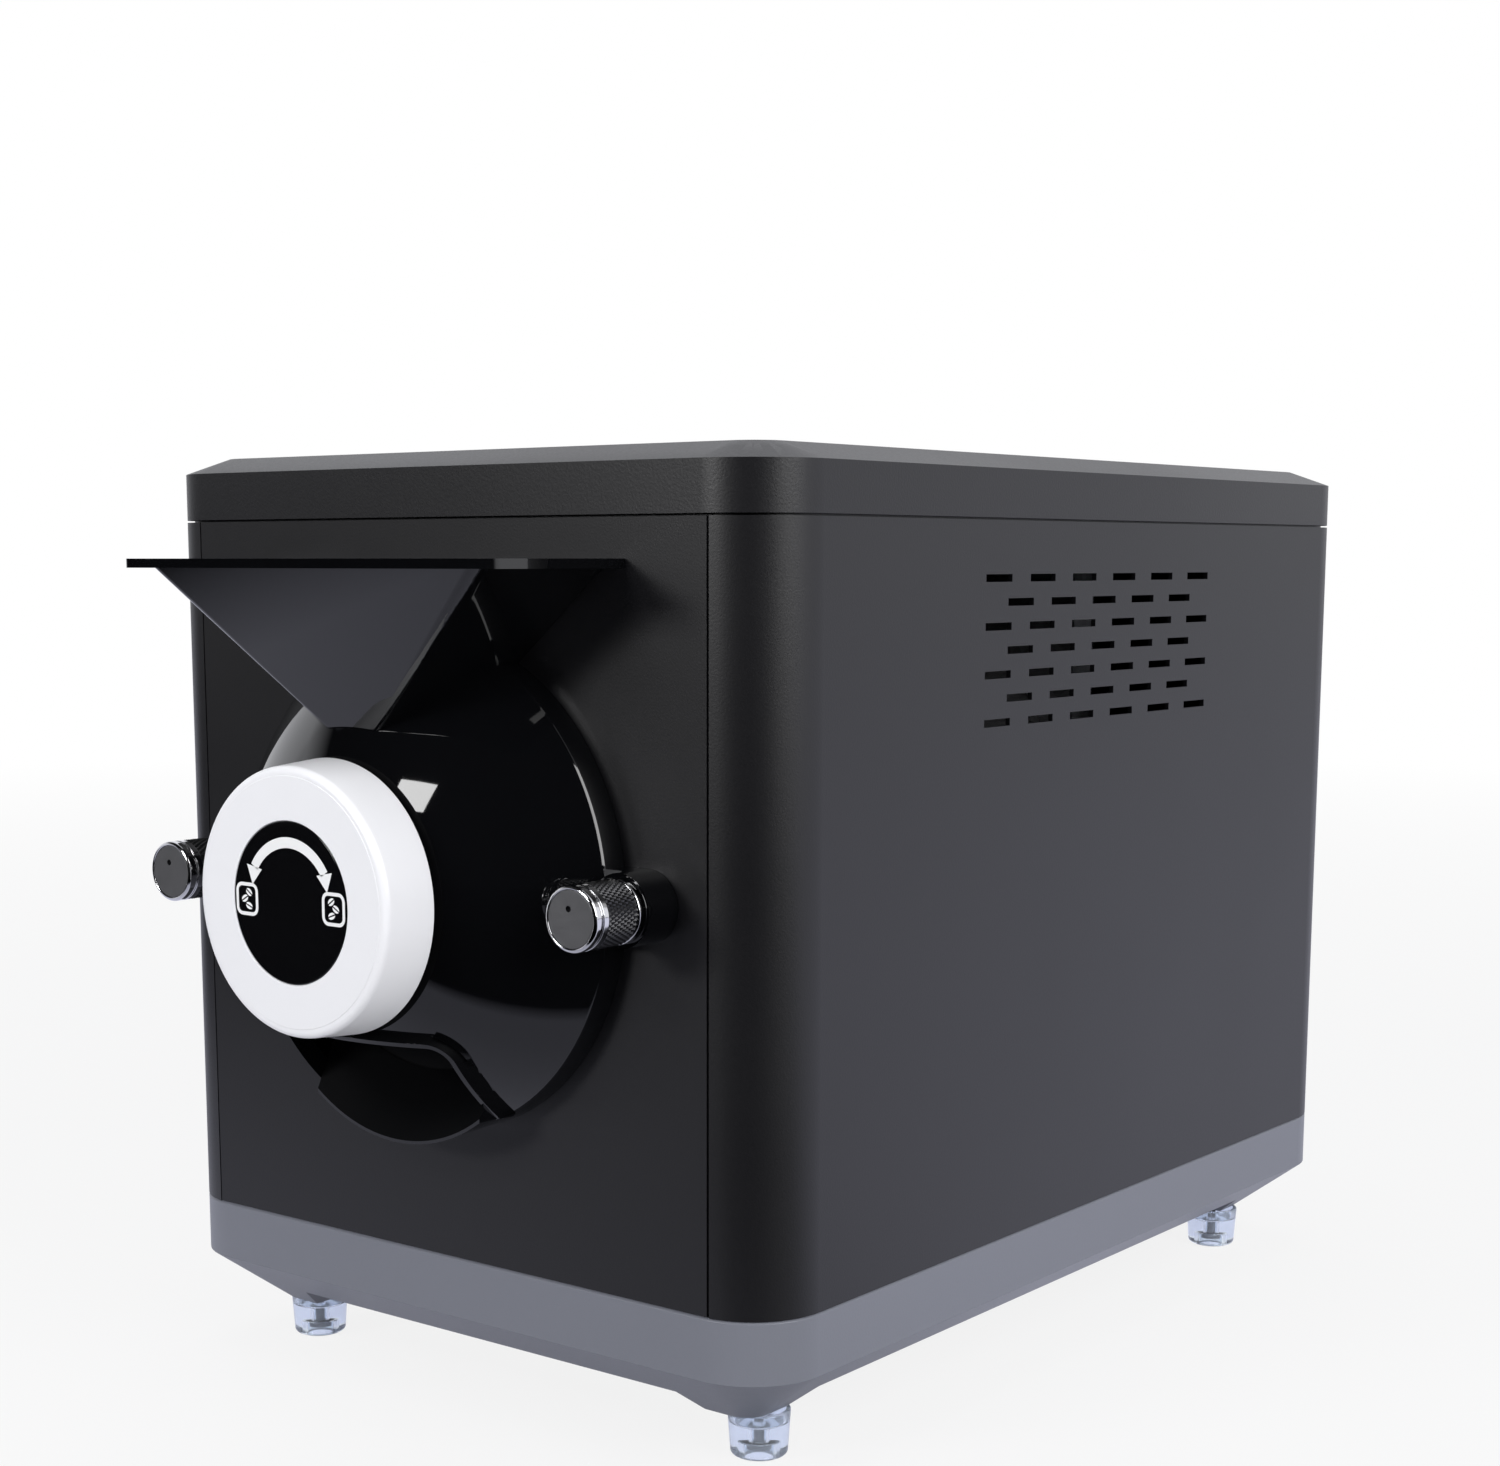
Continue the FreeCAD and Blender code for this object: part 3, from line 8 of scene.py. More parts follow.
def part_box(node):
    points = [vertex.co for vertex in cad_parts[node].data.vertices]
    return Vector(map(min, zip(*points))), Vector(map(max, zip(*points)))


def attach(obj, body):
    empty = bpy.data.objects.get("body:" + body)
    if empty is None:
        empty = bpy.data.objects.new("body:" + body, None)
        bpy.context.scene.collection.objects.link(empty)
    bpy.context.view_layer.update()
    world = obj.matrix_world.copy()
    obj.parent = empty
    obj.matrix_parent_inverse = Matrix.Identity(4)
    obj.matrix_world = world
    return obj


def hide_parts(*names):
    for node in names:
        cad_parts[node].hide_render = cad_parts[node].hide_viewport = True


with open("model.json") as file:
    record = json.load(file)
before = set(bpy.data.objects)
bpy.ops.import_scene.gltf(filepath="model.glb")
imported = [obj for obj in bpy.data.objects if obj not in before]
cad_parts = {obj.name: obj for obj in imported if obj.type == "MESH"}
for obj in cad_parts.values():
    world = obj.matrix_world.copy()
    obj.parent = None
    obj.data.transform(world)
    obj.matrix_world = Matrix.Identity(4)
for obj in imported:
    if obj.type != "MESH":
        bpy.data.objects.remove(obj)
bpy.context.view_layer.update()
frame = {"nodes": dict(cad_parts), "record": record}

mm = 0.001
scene = bpy.context.scene

# Places that the frame gives
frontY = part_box("front_panel")[0].y
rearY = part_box("rear_panel")[1].y
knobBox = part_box("selector_knob")
axisZ = (knobBox[0].z + knobBox[1].z) / 2
knobFaceY = knobBox[0].y

bodies = frame["record"]["behaviour"]["bodies"]
bodyOf = {node: body for body, nodes in bodies.items() for node in nodes}
slotOf = {part["node"]: part["material_slot"] for part in frame["record"]["subparts"]}

view = {
    "place": (0.5382, -0.7119, 0.2741),
    "turn": 38.34,          # degrees from +Y towards -X
    "tip": -8.87,
    "lens": 58.77,
    "sensor": 36,
    "shift": (0.0267, 0.1389),
}


def makeCamera():
    data = bpy.data.cameras.new("view")
    data.lens = view["lens"]
    data.sensor_width = view["sensor"]
    data.shift_x, data.shift_y = view["shift"]
    camera = bpy.data.objects.new("view", data)
    camera.location = view["place"]
    camera.rotation_euler = (math.radians(90 + view["tip"]), 0, math.radians(view["turn"]))
    scene.collection.objects.link(camera)
    scene.camera = camera


makeCamera()
print("camera placed")


class Flow:     # one socket's value, with operators that add Math nodes
    def __init__(self, bench, socket):
        self.bench = bench
        self.socket = socket

    def math(self, operation, *values):
        return self.bench.add("ShaderNodeMath", {"operation": operation}, *values)

    def __add__(self, other):
        return self.math("ADD", self, other)

    def __sub__(self, other):
        return self.math("SUBTRACT", self, other)

    def __rsub__(self, other):
        return self.math("SUBTRACT", other, self)

    def __mul__(self, other):
        return self.math("MULTIPLY", self, other)

    def __truediv__(self, other):
        return self.math("DIVIDE", self, other)

    def clipped(self):
        return self.math("MINIMUM", self.math("MAXIMUM", self, 0.0), 1.0)

    def swung(self, share):     # how far it is from its middle
        return (self - 0.5) * share

    def sharpened(self, middle, gain):
        return ((self - middle) * gain).clipped()

    __radd__ = __add__
    __rmul__ = __mul__


# Dull black: a matte finish where it is mixed into the hood, and painted shade where it is mixed into
# the thumb inlay's dimple.
dullAndShadeBlack = {"Base Color": (0.0022, 0.0023, 0.0028, 1.0), "Roughness": 0.5, "Specular IOR Level": 0.04}


class Bench:    # a material's tree, and one way to add any node to it
    def __init__(self, name):
        self.material = bpy.data.materials.new(name)
        self.material.use_nodes = True
        self.tree = self.material.node_tree
        self.shader = self.tree.nodes["Principled BSDF"]
        self.place = self.add("ShaderNodeTexCoord", {}, out="Object")

    def add(self, kind, settings, *values, out=0, **named):
        node = self.tree.nodes.new(kind)
        for key, value in settings.items():
            if key == "stops":
                self.setStops(node.color_ramp, value)
            else:
                setattr(node, key, value)
        for index, value in enumerate(values):
            self.feed(node.inputs[index], value)
        for key, value in named.items():
            self.feed(self.find(node.inputs, key), value)
        return Flow(self, self.find(node.outputs, out))

    def find(self, sockets, key):
        if isinstance(key, int):
            return sockets[key]
        for socket in sockets:
            if key in (socket.identifier, socket.name):
                return socket
        raise KeyError(key)

    def feed(self, socket, value):
        if isinstance(value, Flow):
            self.tree.links.new(value.socket, socket)
        else:
            socket.default_value = value

    def setStops(self, ramp, stops):
        while len(ramp.elements) < len(stops):
            ramp.elements.new(0.5)
        for element, (where, colour) in zip(ramp.elements, stops):
            element.position = where
            element.color = colour

    def noise(self, scale, detail=2.0, stretch=None):
        place = self.place
        if stretch:
            place = self.add("ShaderNodeMapping", {}, place, Scale=stretch)
        return self.add("ShaderNodeTexNoise", {}, place, Scale=scale, Detail=detail)

    def blend(self, share, first, second):
        return self.add("ShaderNodeMix", {"data_type": "RGBA"}, out="Result_Color",
                        Factor_Float=share, A_Color=first, B_Color=second)

    def dent(self, height, depth, strength=1.0, under=None):
        settings = {"Height": height, "Distance": depth, "Strength": strength}
        if under:
            settings["Normal"] = under
        return self.add("ShaderNodeBump", {}, **settings)

    # Mixes in a dull black where the piece's own attribute says so: a matte patch on the hood, and
    # painted shade in the thumb inlay's dimple.
    def dullInside(self):
        plain = self.add("ShaderNodeBsdfPrincipled", {}, out="BSDF", **dullAndShadeBlack)
        share = self.add("ShaderNodeAttribute", {"attribute_name": "dull"}, out="Fac")
        gloss = Flow(self, self.shader.outputs["BSDF"])
        mixed = self.add("ShaderNodeMixShader", {}, share, gloss, plain, out="Shader")
        self.feed(self.tree.nodes["Material Output"].inputs["Surface"], mixed)

    def finish(self, **sockets):
        for key, value in sockets.items():
            self.feed(self.find(self.shader.inputs, key.replace("_", " ")), value)
        return self.material


def shade(colour, times):
    return tuple(min(1.0, channel * times) for channel in colour) + (1.0,)


# Powder-coated or moulded skin: a fine grain, and a slow drift in tone and gloss.
def grainedSkin(name, colour, rough, grain, depth, drift=0.1, level=0.5):
    bench = Bench(name)
    slow = bench.noise(scale=9.0, detail=3.0)
    fine = bench.noise(grain)
    tone = bench.blend(slow, shade(colour, 1 - drift), shade(colour, 1 + drift))
    gloss = slow.swung(0.10) + fine.swung(0.10) + rough
    return bench.finish(Base_Color=tone, Roughness=gloss, Normal=bench.dent(fine, depth),
                        Specular_IOR_Level=level)


# Polished moulding: a slight waviness, and handling marks in the gloss.
def polishedSkin(name, colour, rough, wave, level=0.5, lined=False):
    bench = Bench(name)
    swell = bench.noise(scale=14.0, detail=1.0)
    marks = bench.noise(scale=55.0, detail=4.0, stretch=(1.0, 1.0, 0.25))
    smear = marks.sharpened(middle=0.55, gain=3.0)
    tone = bench.blend(swell, shade(colour, 0.9), shade(colour, 1.1))
    gloss = smear * 0.05 + rough
    if lined:
        bench.dullInside()
    return bench.finish(Base_Color=tone, Roughness=gloss, Normal=bench.dent(swell, wave),
                        Specular_IOR_Level=level)


# Drawn or rolled metal: fine lines, pulled along wherever the stretch is small.
def drawnMetal(name, colour, rough, stretch, depth=0.00002, metallic=1.0, lined=False):
    bench = Bench(name)
    lines = bench.noise(scale=420.0, stretch=stretch)
    slow = bench.noise(scale=16.0, detail=3.0)
    tone = bench.blend(slow, shade(colour, 0.86), shade(colour, 1.1))
    gloss = lines.swung(0.22) + slow.swung(0.12) + rough
    if lined:
        bench.dullInside()
    return bench.finish(Base_Color=tone, Roughness=gloss, Metallic=metallic,
                        Normal=bench.dent(lines, depth))


# Zinc plate: flat crystals of slightly different tone.
def zincPlate(name, colour):
    bench = Bench(name)
    cells = bench.add("ShaderNodeTexVoronoi", {}, bench.place, Scale=160.0, out="Color")
    crystal = bench.add("ShaderNodeSeparateColor", {}, cells, out=0)
    tone = bench.blend(crystal, shade(colour, 0.82), shade(colour, 1.08))
    return bench.finish(Base_Color=tone, Roughness=crystal * 0.16 + 0.3, Metallic=1.0)


def clearMoulding(name, colour):
    bench = Bench(name)
    swirl = bench.noise(scale=240.0)
    tone = bench.blend(swirl, shade(colour, 0.94), shade(colour, 1.04))
    return bench.finish(Base_Color=tone, Roughness=swirl * 0.10 + 0.06, Transmission_Weight=0.86,
                        IOR=1.45, Normal=bench.dent(swirl, 0.00005))


def woolFelt(name, colour):
    bench = Bench(name)
    strands = bench.noise(scale=600.0, detail=5.0, stretch=(1.0, 0.3, 1.0))
    lumps = bench.dent(bench.noise(scale=60.0), 0.0015)
    tone = bench.blend(strands, shade(colour, 0.7), shade(colour, 1.15))
    return bench.finish(Base_Color=tone, Roughness=strands * 0.1 + 0.85,
                        Normal=bench.dent(strands, 0.0006, under=lumps))


# Circuit board: green lacquer with tracks just showing under it.
def boardLacquer(name, colour):
    bench = Bench(name)
    bands = bench.noise(scale=90.0, detail=0.0, stretch=(1.0, 3.0, 0.4))
    tracks = bands.sharpened(middle=0.5, gain=9.0)
    tone = bench.blend(tracks, shade(colour, 0.8), shade(colour, 1.7))
    return bench.finish(Base_Color=tone, Roughness=tracks * -0.1 + 0.4,
                        Normal=bench.dent(tracks, 0.00005))


# Each finish: the way it is made, its colour, and that way's other numbers
recipes = {
    "black_panel": (grainedSkin, (0.0052, 0.0050, 0.0064), 0.41, 1500.0, 0.00003),
    "black_cover": (grainedSkin, (0.0062, 0.0060, 0.0076), 0.40, 1300.0, 0.00004),
    "grey_base": (grainedSkin, (0.166, 0.173, 0.203), 0.42, 1400.0, 0.00003, 0.05),
    "clear_soft": (clearMoulding, (0.80, 0.87, 0.96)),
    "screw_black": (drawnMetal, (0.035, 0.035, 0.037), 0.38, (1, 1, 1), 0.00001),
    "zinc_sheet": (zincPlate, (0.62, 0.63, 0.65)),
    "screw_zinc": (drawnMetal, (0.68, 0.68, 0.70), 0.28, (1, 1, 1), 0.00001),
    "stainless": (drawnMetal, (0.60, 0.59, 0.57), 0.30, (1.0, 0.05, 1.0)),
    "heater_metal": (drawnMetal, (0.17, 0.15, 0.14), 0.52, (1.0, 0.4, 1.0)),
    "ceramic": (polishedSkin, (0.80, 0.78, 0.72), 0.22, 0.0001),
    "wool": (woolFelt, (0.10, 0.10, 0.105)),
    "bearing_steel": (drawnMetal, (0.66, 0.66, 0.68), 0.16, (1, 1, 1), 0.000005),
    "gear_steel": (drawnMetal, (0.42, 0.42, 0.43), 0.34, (1.0, 0.1, 1.0)),
    "cast_alloy": (grainedSkin, (0.46, 0.47, 0.48), 0.45, 900.0, 0.0001),
    "motor_can": (drawnMetal, (0.36, 0.37, 0.38), 0.33, (1.0, 0.1, 1.0)),
    "fan_plastic": (grainedSkin, (0.016, 0.016, 0.016), 0.5, 1200.0, 0.00004),
    "collar_metal": (drawnMetal, (0.52, 0.52, 0.53), 0.33, (1, 1, 1)),
    "board": (boardLacquer, (0.012, 0.11, 0.035)),
    "board_dark": (grainedSkin, (0.03, 0.03, 0.033), 0.5, 800.0, 0.00004),
    "socket_black": (grainedSkin, (0.012, 0.012, 0.012), 0.42, 1100.0, 0.00004),
    "rocker_black": (polishedSkin, (0.012, 0.012, 0.012), 0.18, 0.00005),
    "black_steel": (grainedSkin, (0.004, 0.004, 0.0045), 0.62, 900.0, 0.00002, 0.1, 0.05),
    "pin_brass": (drawnMetal, (0.66, 0.55, 0.30), 0.22, (1.0, 0.2, 1.0)),
    "gloss_black": (polishedSkin, (0.0022, 0.0023, 0.0028), 0.035, 0.0001, 0.66, True),
    "white_knob": (grainedSkin, (0.80, 0.80, 0.82), 0.30, 900.0, 0.00001, 0.015),
    "dial_black": (polishedSkin, (0.003, 0.003, 0.0035), 0.06, 0.00001),
    "chrome": (drawnMetal, (0.74, 0.74, 0.76), 0.10, (1, 1, 1), 0.000004),
    "grip_black": (drawnMetal, (0.075, 0.075, 0.078), 0.34, (1, 1, 1), 0.00001),
    # The inlay's dimple gets the dull black mixed in: painted shade in the pit.
    "inlay_grey": (drawnMetal, (0.115, 0.115, 0.12), 0.42, (1, 1, 1), 0.00001, 0.5, True),
    "print_white": (grainedSkin, (0.80, 0.80, 0.80), 0.45, 1500.0, 0.00001, 0.03),
}
finishes = {name: make(name, *values) for name, (make, *values) in recipes.items()}
for nodeName, cadPiece in frame["nodes"].items():
    cadPiece.data.materials.clear()
    cadPiece.data.materials.append(finishes[slotOf[nodeName]])
print("finishes made:", len(finishes))


def addPiece(name, mesh, body, slot, finish=None, node=None):
    mesh.materials.clear()
    mesh.materials.append(finishes[finish or slot])
    piece = bpy.data.objects.new(name, mesh)
    scene.collection.objects.link(piece)
    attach(piece, body)
    if node:
        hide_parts(node)
    return piece


def meshOf(name, bm):
    mesh = bpy.data.meshes.new(name)
    bm.to_mesh(mesh)
    bm.free()
    return mesh


def meshFrom(name, build):
    bm = bmesh.new()
    build(bm)
    bmesh.ops.recalc_face_normals(bm, faces=bm.faces)
    return meshOf(name, bm)


turnedEdge = 35     # degrees past which a turned piece shows an edge


def markEdges(mesh, angle):
    mesh.shade_smooth()
    mesh.set_sharp_from_angle(angle=math.radians(angle))


# The mesh as one modifier leaves it. A tree's inputs are set by identifier.
def settled(mesh, kind, settings, inputs=()):
    worker = bpy.data.objects.new("worker", mesh)
    scene.collection.objects.link(worker)
    modifier = worker.modifiers.new(kind.lower(), kind)
    for key, value in settings.items():
        setattr(modifier, key, value)
    for identifier, value in inputs:
        modifier[identifier] = value
    graph = bpy.context.evaluated_depsgraph_get()
    result = bpy.data.meshes.new_from_object(worker.evaluated_get(graph))
    bpy.data.objects.remove(worker)
    return result


def easedEdges(mesh, width, segments, angle):
    return settled(mesh, "BEVEL", {
        "width": width * mm, "segments": segments, "limit_method": "ANGLE",
        "angle_limit": math.radians(angle), "harden_normals": True, "use_clamp_overlap": True,
        "miter_outer": "MITER_ARC"})


# How near doubles lie in millimetres, and how flat a joined edge is in degrees
merging = {"doubles": 0.002, "flat": 0.4}


def mergedCopy(node):
    bm = bmesh.new()
    bm.from_mesh(frame["nodes"][node].data)
    bmesh.ops.remove_doubles(bm, verts=bm.verts, dist=merging["doubles"] * mm)
    return bm


# A CAD solid with its triangles joined into faces, eased edges and smooth rounds.
# Its width is in millimetres, and flat is a flat wall's least area in square millimetres.
def refined(node, width=0.0, segments=2, angle=30, reshape=None, flat=0.0):
    bm = mergedCopy(node)
    if reshape:
        reshape(bm)
    if width:
        bmesh.ops.dissolve_limit(bm, angle_limit=math.radians(merging["flat"]),
                                 verts=bm.verts, edges=bm.edges)
    mesh = meshOf(node, bm)
    if "custom_normal" in mesh.attributes:     # the CAD's own, one per small facet
        mesh.attributes.remove(mesh.attributes["custom_normal"])
    markEdges(mesh, angle)
    if width:
        mesh = easedEdges(mesh, width, segments, angle)
    if flat:
        flatWalls(mesh, flat)
    return addPiece(node + "_finished", mesh, bodyOf[node], slotOf[node], node=node)


# How alike normals are, as a cosine: in one wall, and where a round runs into it
alike = {"wall": 0.99995, "round": 0.98}


# Gives each flat wall over an area one normal, so that it mirrors cleanly.
def flatWalls(mesh, least):
    bm = bmesh.new()
    bm.from_mesh(mesh)
    bm.faces.ensure_lookup_table()
    normals = [Vector(corner.vector) for corner in mesh.corner_normals]
    seen = set()
    for seed in sorted(bm.faces, key=lambda face: -face.calc_area()):
        if seed.index in seen:
            continue
        seen.add(seed.index)
        wall, edge = [seed], [seed]
        while edge:
            for other in {near for link in edge.pop().edges for near in link.link_faces}:
                if other.index not in seen and other.normal.dot(seed.normal) > alike["wall"]:
                    seen.add(other.index)
                    wall.append(other)
                    edge.append(other)
        if sum(face.calc_area() for face in wall) < least * mm * mm:
            continue
        corners = {spot for face in wall for spot in face.verts}
        numbers = {spot.index for spot in corners}
        for face in {near for spot in corners for near in spot.link_faces}:
            if face.normal.dot(seed.normal) > alike["round"]:
                for loop in mesh.polygons[face.index].loop_indices:
                    if mesh.loops[loop].vertex_index in numbers:
                        normals[loop] = seed.normal.copy()
    bm.free()
    mesh.normals_split_custom_set([tuple(normal) for normal in normals])


# A profile of (across, along, round) with each corner's round cut into steps.
def filleted(points, steps):
    result = []
    for index, (a, b, radius) in enumerate(points):
        if not radius:
            result.append((a, b))
            continue
        corner = Vector((a, b))
        before = (Vector(points[index - 1][:2]) - corner).normalized()
        after = (Vector(points[(index + 1) % len(points)][:2]) - corner).normalized()
        half = before.angle(after) / 2
        centre = corner + (before + after).normalized() * (radius / math.sin(half))
        start = corner + before * (radius / math.tan(half)) - centre
        end = corner + after * (radius / math.tan(half)) - centre
        sweep = start.angle_signed(end)
        for step in range(steps + 1):
            turn = Matrix.Rotation(-sweep * step / steps, 2)
            spot = centre + turn @ start
            result.append((spot.x, spot.y))
    return result


# Extra points just inside the ends of long runs, so that flats stay flat in the light.
def steadied(profile, closed, margin=0.12, longRun=0.96):
    result = []
    following = profile[1:] + (profile[:1] if closed else [])
    for here, after in zip(profile, following):
        start, run = Vector(here), Vector(after) - Vector(here)
        result.append(here)
        if run.length > longRun:
            result.append(tuple(start + run.normalized() * margin))
            result.append(tuple(start + run.normalized() * (run.length - margin)))
    return result if closed else result + profile[-1:]


# A circle's points in metres, from a radius in millimetres, or one point where that is nothing.
def circlePoints(radius, steps):
    turns = [2 * math.pi * step / steps for step in range(steps if radius else 1)]
    return [(radius * mm * math.cos(turn), radius * mm * math.sin(turn)) for turn in turns]


# Joins rings of corners with faces. A ring of one corner is a pole.
def joinRings(bm, rings, closed=True):
    for low, high in zip(rings, rings[1:] + rings[:1] if closed else rings[1:]):
        steps = max(len(low), len(high))
        for step in range(steps):
            after = (step + 1) % steps
            face = dict.fromkeys((low[step % len(low)], low[after % len(low)],
                                  high[after % len(high)], high[step % len(high)]))
            bm.faces.new(list(face))


# Turned about a line along Y. A profile point is (radius, reach) in millimetres, with its
# reach before the front panel. A closed profile's last point joins its first.
def turned(name, profile, steps, centreX=0.0, closed=True):
    def build(bm):
        joinRings(bm, [[bm.verts.new((centreX + x, frontY - reach * mm, axisZ + z))
                        for x, z in circlePoints(radius, steps)]
                       for radius, reach in steadied(profile, closed)], closed)
    mesh = meshFrom(name, build)
    markEdges(mesh, turnedEdge)
    return mesh


# Widths in millimetres
eased = {
    "base_tray": 0.5, "front_panel": 0.25, "left_side_panel": 0, "right_side_panel": 0,
    "rear_panel": 0, "top_cover": 0.6, "exhaust_collar": 0.4, "mains_inlet": 0.4,
    "inlet_pins": 0.4, "switch_housing": 0.4, "switch_rocker": 0.6, "control_board": 0,
    "fan_frame": 0.3, "fan_rotor": 0, "front_frame": 0, "rear_frame": 0, "floor_plate": 0,
    "chamber_shell": 0, "heater_rods": 0, "drum_shell": 0.25, "drum_spider": 0.4,
    "drum_vanes": 0, "drum_rear_plate": 0.4, "drum_shaft": 0.3, "hood_back_plate": 0.2,
    "gate_disc": 0.2, "knob_shaft": 0.3, "exhaust_duct": 0, "foot_screws": 0.3,
    "weld_nuts": 0.3, "temperature_probe": 0.2, "back_plate_screws": 0, "heater_bushes": 0,
}
outerWalls = {"least": 5000.0, "nodes": ("base_tray", "front_panel", "left_side_panel",
                                         "right_side_panel", "rear_panel", "top_cover")}
for nodeName, width in eased.items():
    refined(nodeName, width, flat=outerWalls["least"] if nodeName in outerWalls["nodes"] else 0)
print("cabinet and inner pieces finished:", len(eased))


# The dome's profile as (across, reach): three points of its curve, and how far a face may be off it
domeArc = {"rim": (77.0, 9.3), "middle": (62.5, 25.5), "nose": (42.0, 40.5), "slack": 0.25,
           "wallTop": 8.1, "lowest": 8.0, "near": 0.1, "noseEdge": 0.4, "noseFlat": 0.999,
           "outwards": 0.6, "alike": 0.97}
# The mouth, down from the axis: its straight top, half widths, corner, and the bead round it
mouth = {"top": 43.6, "halfTop": 35.2, "low": 83.8, "halfLow": 36.8, "corner": 5.0,
         "beadInner": 1.3, "beadOuter": 3.8, "beadHeight": 2.8, "beadEnd": 6.0, "slack": 0.12,
         "stepFrom": 0.2, "stepTo": 2.5, "sliver": 0.03, "chuteTop": 45.0, "chuteTilt": 0.05}
hoodEdge = {"width": 0.35, "segments": 2, "angle": 32}
hopperEdge = {"width": 0.5, "segments": 3, "angle": 32, "flat": 60.0}


# Centre and radius of the circle through three points of the dome's profile.
def arcOf(first, second, third):
    (ax, ay), (bx, by), (cx, cy) = first, second, third
    twice = 2 * (ax * (by - cy) + bx * (cy - ay) + cx * (ay - by))
    sa, sb, sc = ax * ax + ay * ay, bx * bx + by * by, cx * cx + cy * cy
    centreX = (sa * (by - cy) + sb * (cy - ay) + sc * (ay - by)) / twice
    centreY = (sa * (cx - bx) + sb * (ax - cx) + sc * (bx - ax)) / twice
    return centreX, centreY, math.hypot(ax - centreX, ay - centreY)


centreR, centreO, domeRadius = arcOf(domeArc["rim"], domeArc["middle"], domeArc["nose"])


# A spot on the hood in millimetres: across and up from the axis, how far before the front panel,
# how far from the axis, and how high over the dome's curve.
def hoodPlace(spot):
    across, up, reach = spot.x / mm, (spot.z - axisZ) / mm, (frontY - spot.y) / mm
    away = math.hypot(across, up)
    return across, up, reach, away, math.hypot(away - centreR, reach - centreO) - domeRadius


# How far a spot lies outside the mouth's outline.
def mouthMargin(across, up):
    share = (up + mouth["top"]) / (mouth["top"] - mouth["low"])
    half = mouth["halfTop"] + (mouth["halfLow"] - mouth["halfTop"]) * share
    sideways, above = abs(across) - half, up + mouth["top"]
    corner = mouth["corner"]
    if sideways > -corner and above > -corner:
        return math.hypot(sideways + corner, above + corner) - corner
    return max(sideways, above)


# Turns the bead's outer step into one slope from its top down to the dome.
def slopeBead(bm):
    inner, outer, slack = mouth["beadInner"], mouth["beadOuter"], mouth["slack"]
    moved = []
    for spot in bm.verts:
        across, up, reach, away, height = hoodPlace(spot.co)
        margin = mouthMargin(across, up)
        if up > mouth["beadEnd"] - mouth["top"] or not inner - slack < margin < outer + slack:
            continue
        if not mouth["stepFrom"] < height < mouth["stepTo"]:
            continue
        share = min(1.0, max(0.0, (outer - margin) / (outer - inner)))
        grown = domeRadius + share * mouth["beadHeight"]
        spot.co.y = frontY - (centreO + math.sqrt(grown ** 2 - (away - centreR) ** 2)) * mm
        moved.append(spot)
    edges = {edge for spot in moved for edge in spot.link_edges}
    bmesh.ops.dissolve_degenerate(bm, dist=mouth["sliver"] * mm, edges=list(edges))


def onNose(face, reach):
    return face.normal.y < -domeArc["noseFlat"] and abs(reach - domeArc["nose"][1]) < domeArc["near"]


# Marks the faces that aren't glossy: the chute that beans rub, the slope round the mouth,
# and the flat nose that the knob turns on.
def markDull(mesh):
    dull = mesh.attributes.new("dull", "FLOAT", "FACE")
    for face in mesh.polygons:
        across, up, reach, away, height = hoodPlace(face.center)
        onSlope = (mouth["beadInner"] < mouthMargin(across, up) < mouth["beadOuter"]
                   and up < mouth["beadEnd"] - mouth["top"]
                   and mouth["slack"] < height < mouth["beadHeight"] - mouth["slack"])
        onChute = (face.normal.z > mouth["chuteTilt"] and up < -mouth["chuteTop"]
                   and abs(across) < mouth["halfLow"])
        dull.data[face.index].value = float(onNose(face, reach) or onChute or onSlope)


# A normal on the hood that leans by these shares away from the axis and forwards.
def leaned(across, up, outwards, forwards):
    away = math.hypot(across, up)
    return Vector((outwards * across / away, -forwards, outwards * up / away)).normalized()


# Gives the dome's faces the true curve's normals, so that reflections run clean.
# The flat nose is turned towards them at its edge, so that they run on behind the knob,
# and the rim's bevel turns from the dome's end to the wall, as a small round would.
def trueDome(mesh):
    noseR, near, wallTop = domeArc["nose"][0], domeArc["near"], domeArc["wallTop"]
    noseTilt = (noseR - centreR) / domeRadius
    rimR, rimO = domeArc["rim"]
    rimAngle = math.asin((rimO - centreO) / domeRadius)
    normals = [Vector(corner.vector) for corner in mesh.corner_normals]
    for face in mesh.polygons:
        for loop in face.loop_indices:
            spot = mesh.vertices[mesh.loops[loop].vertex_index].co
            across, up, reach, away, height = hoodPlace(spot)
            outwards = (face.normal.x * across + face.normal.z * up) / away
            if onNose(face, reach) and abs(away - noseR) < domeArc["noseEdge"]:
                normals[loop] = leaned(across, up, noseTilt, math.sqrt(1 - noseTilt ** 2))
            elif (away > rimR - near and wallTop < reach < rimO + near
                  and outwards > domeArc["outwards"]):
                turn = rimAngle * min(1.0, (reach - wallTop) / (rimO - wallTop))
                normals[loop] = leaned(across, up, math.cos(turn), math.sin(turn))
            elif away >= noseR - 1 and reach >= domeArc["lowest"] and abs(height) <= domeArc["slack"]:
                true = leaned(across, up, (away - centreR) / domeRadius, (reach - centreO) / domeRadius)
                if true.dot(face.normal) > domeArc["alike"]:
                    normals[loop] = true
    mesh.normals_split_custom_set([tuple(normal) for normal in normals])


hoodPiece = refined("hood", reshape=slopeBead, **hoodEdge)
trueDome(hoodPiece.data)
markDull(hoodPiece.data)
refined("hopper", **hopperEdge)
print("hood and hopper finished")


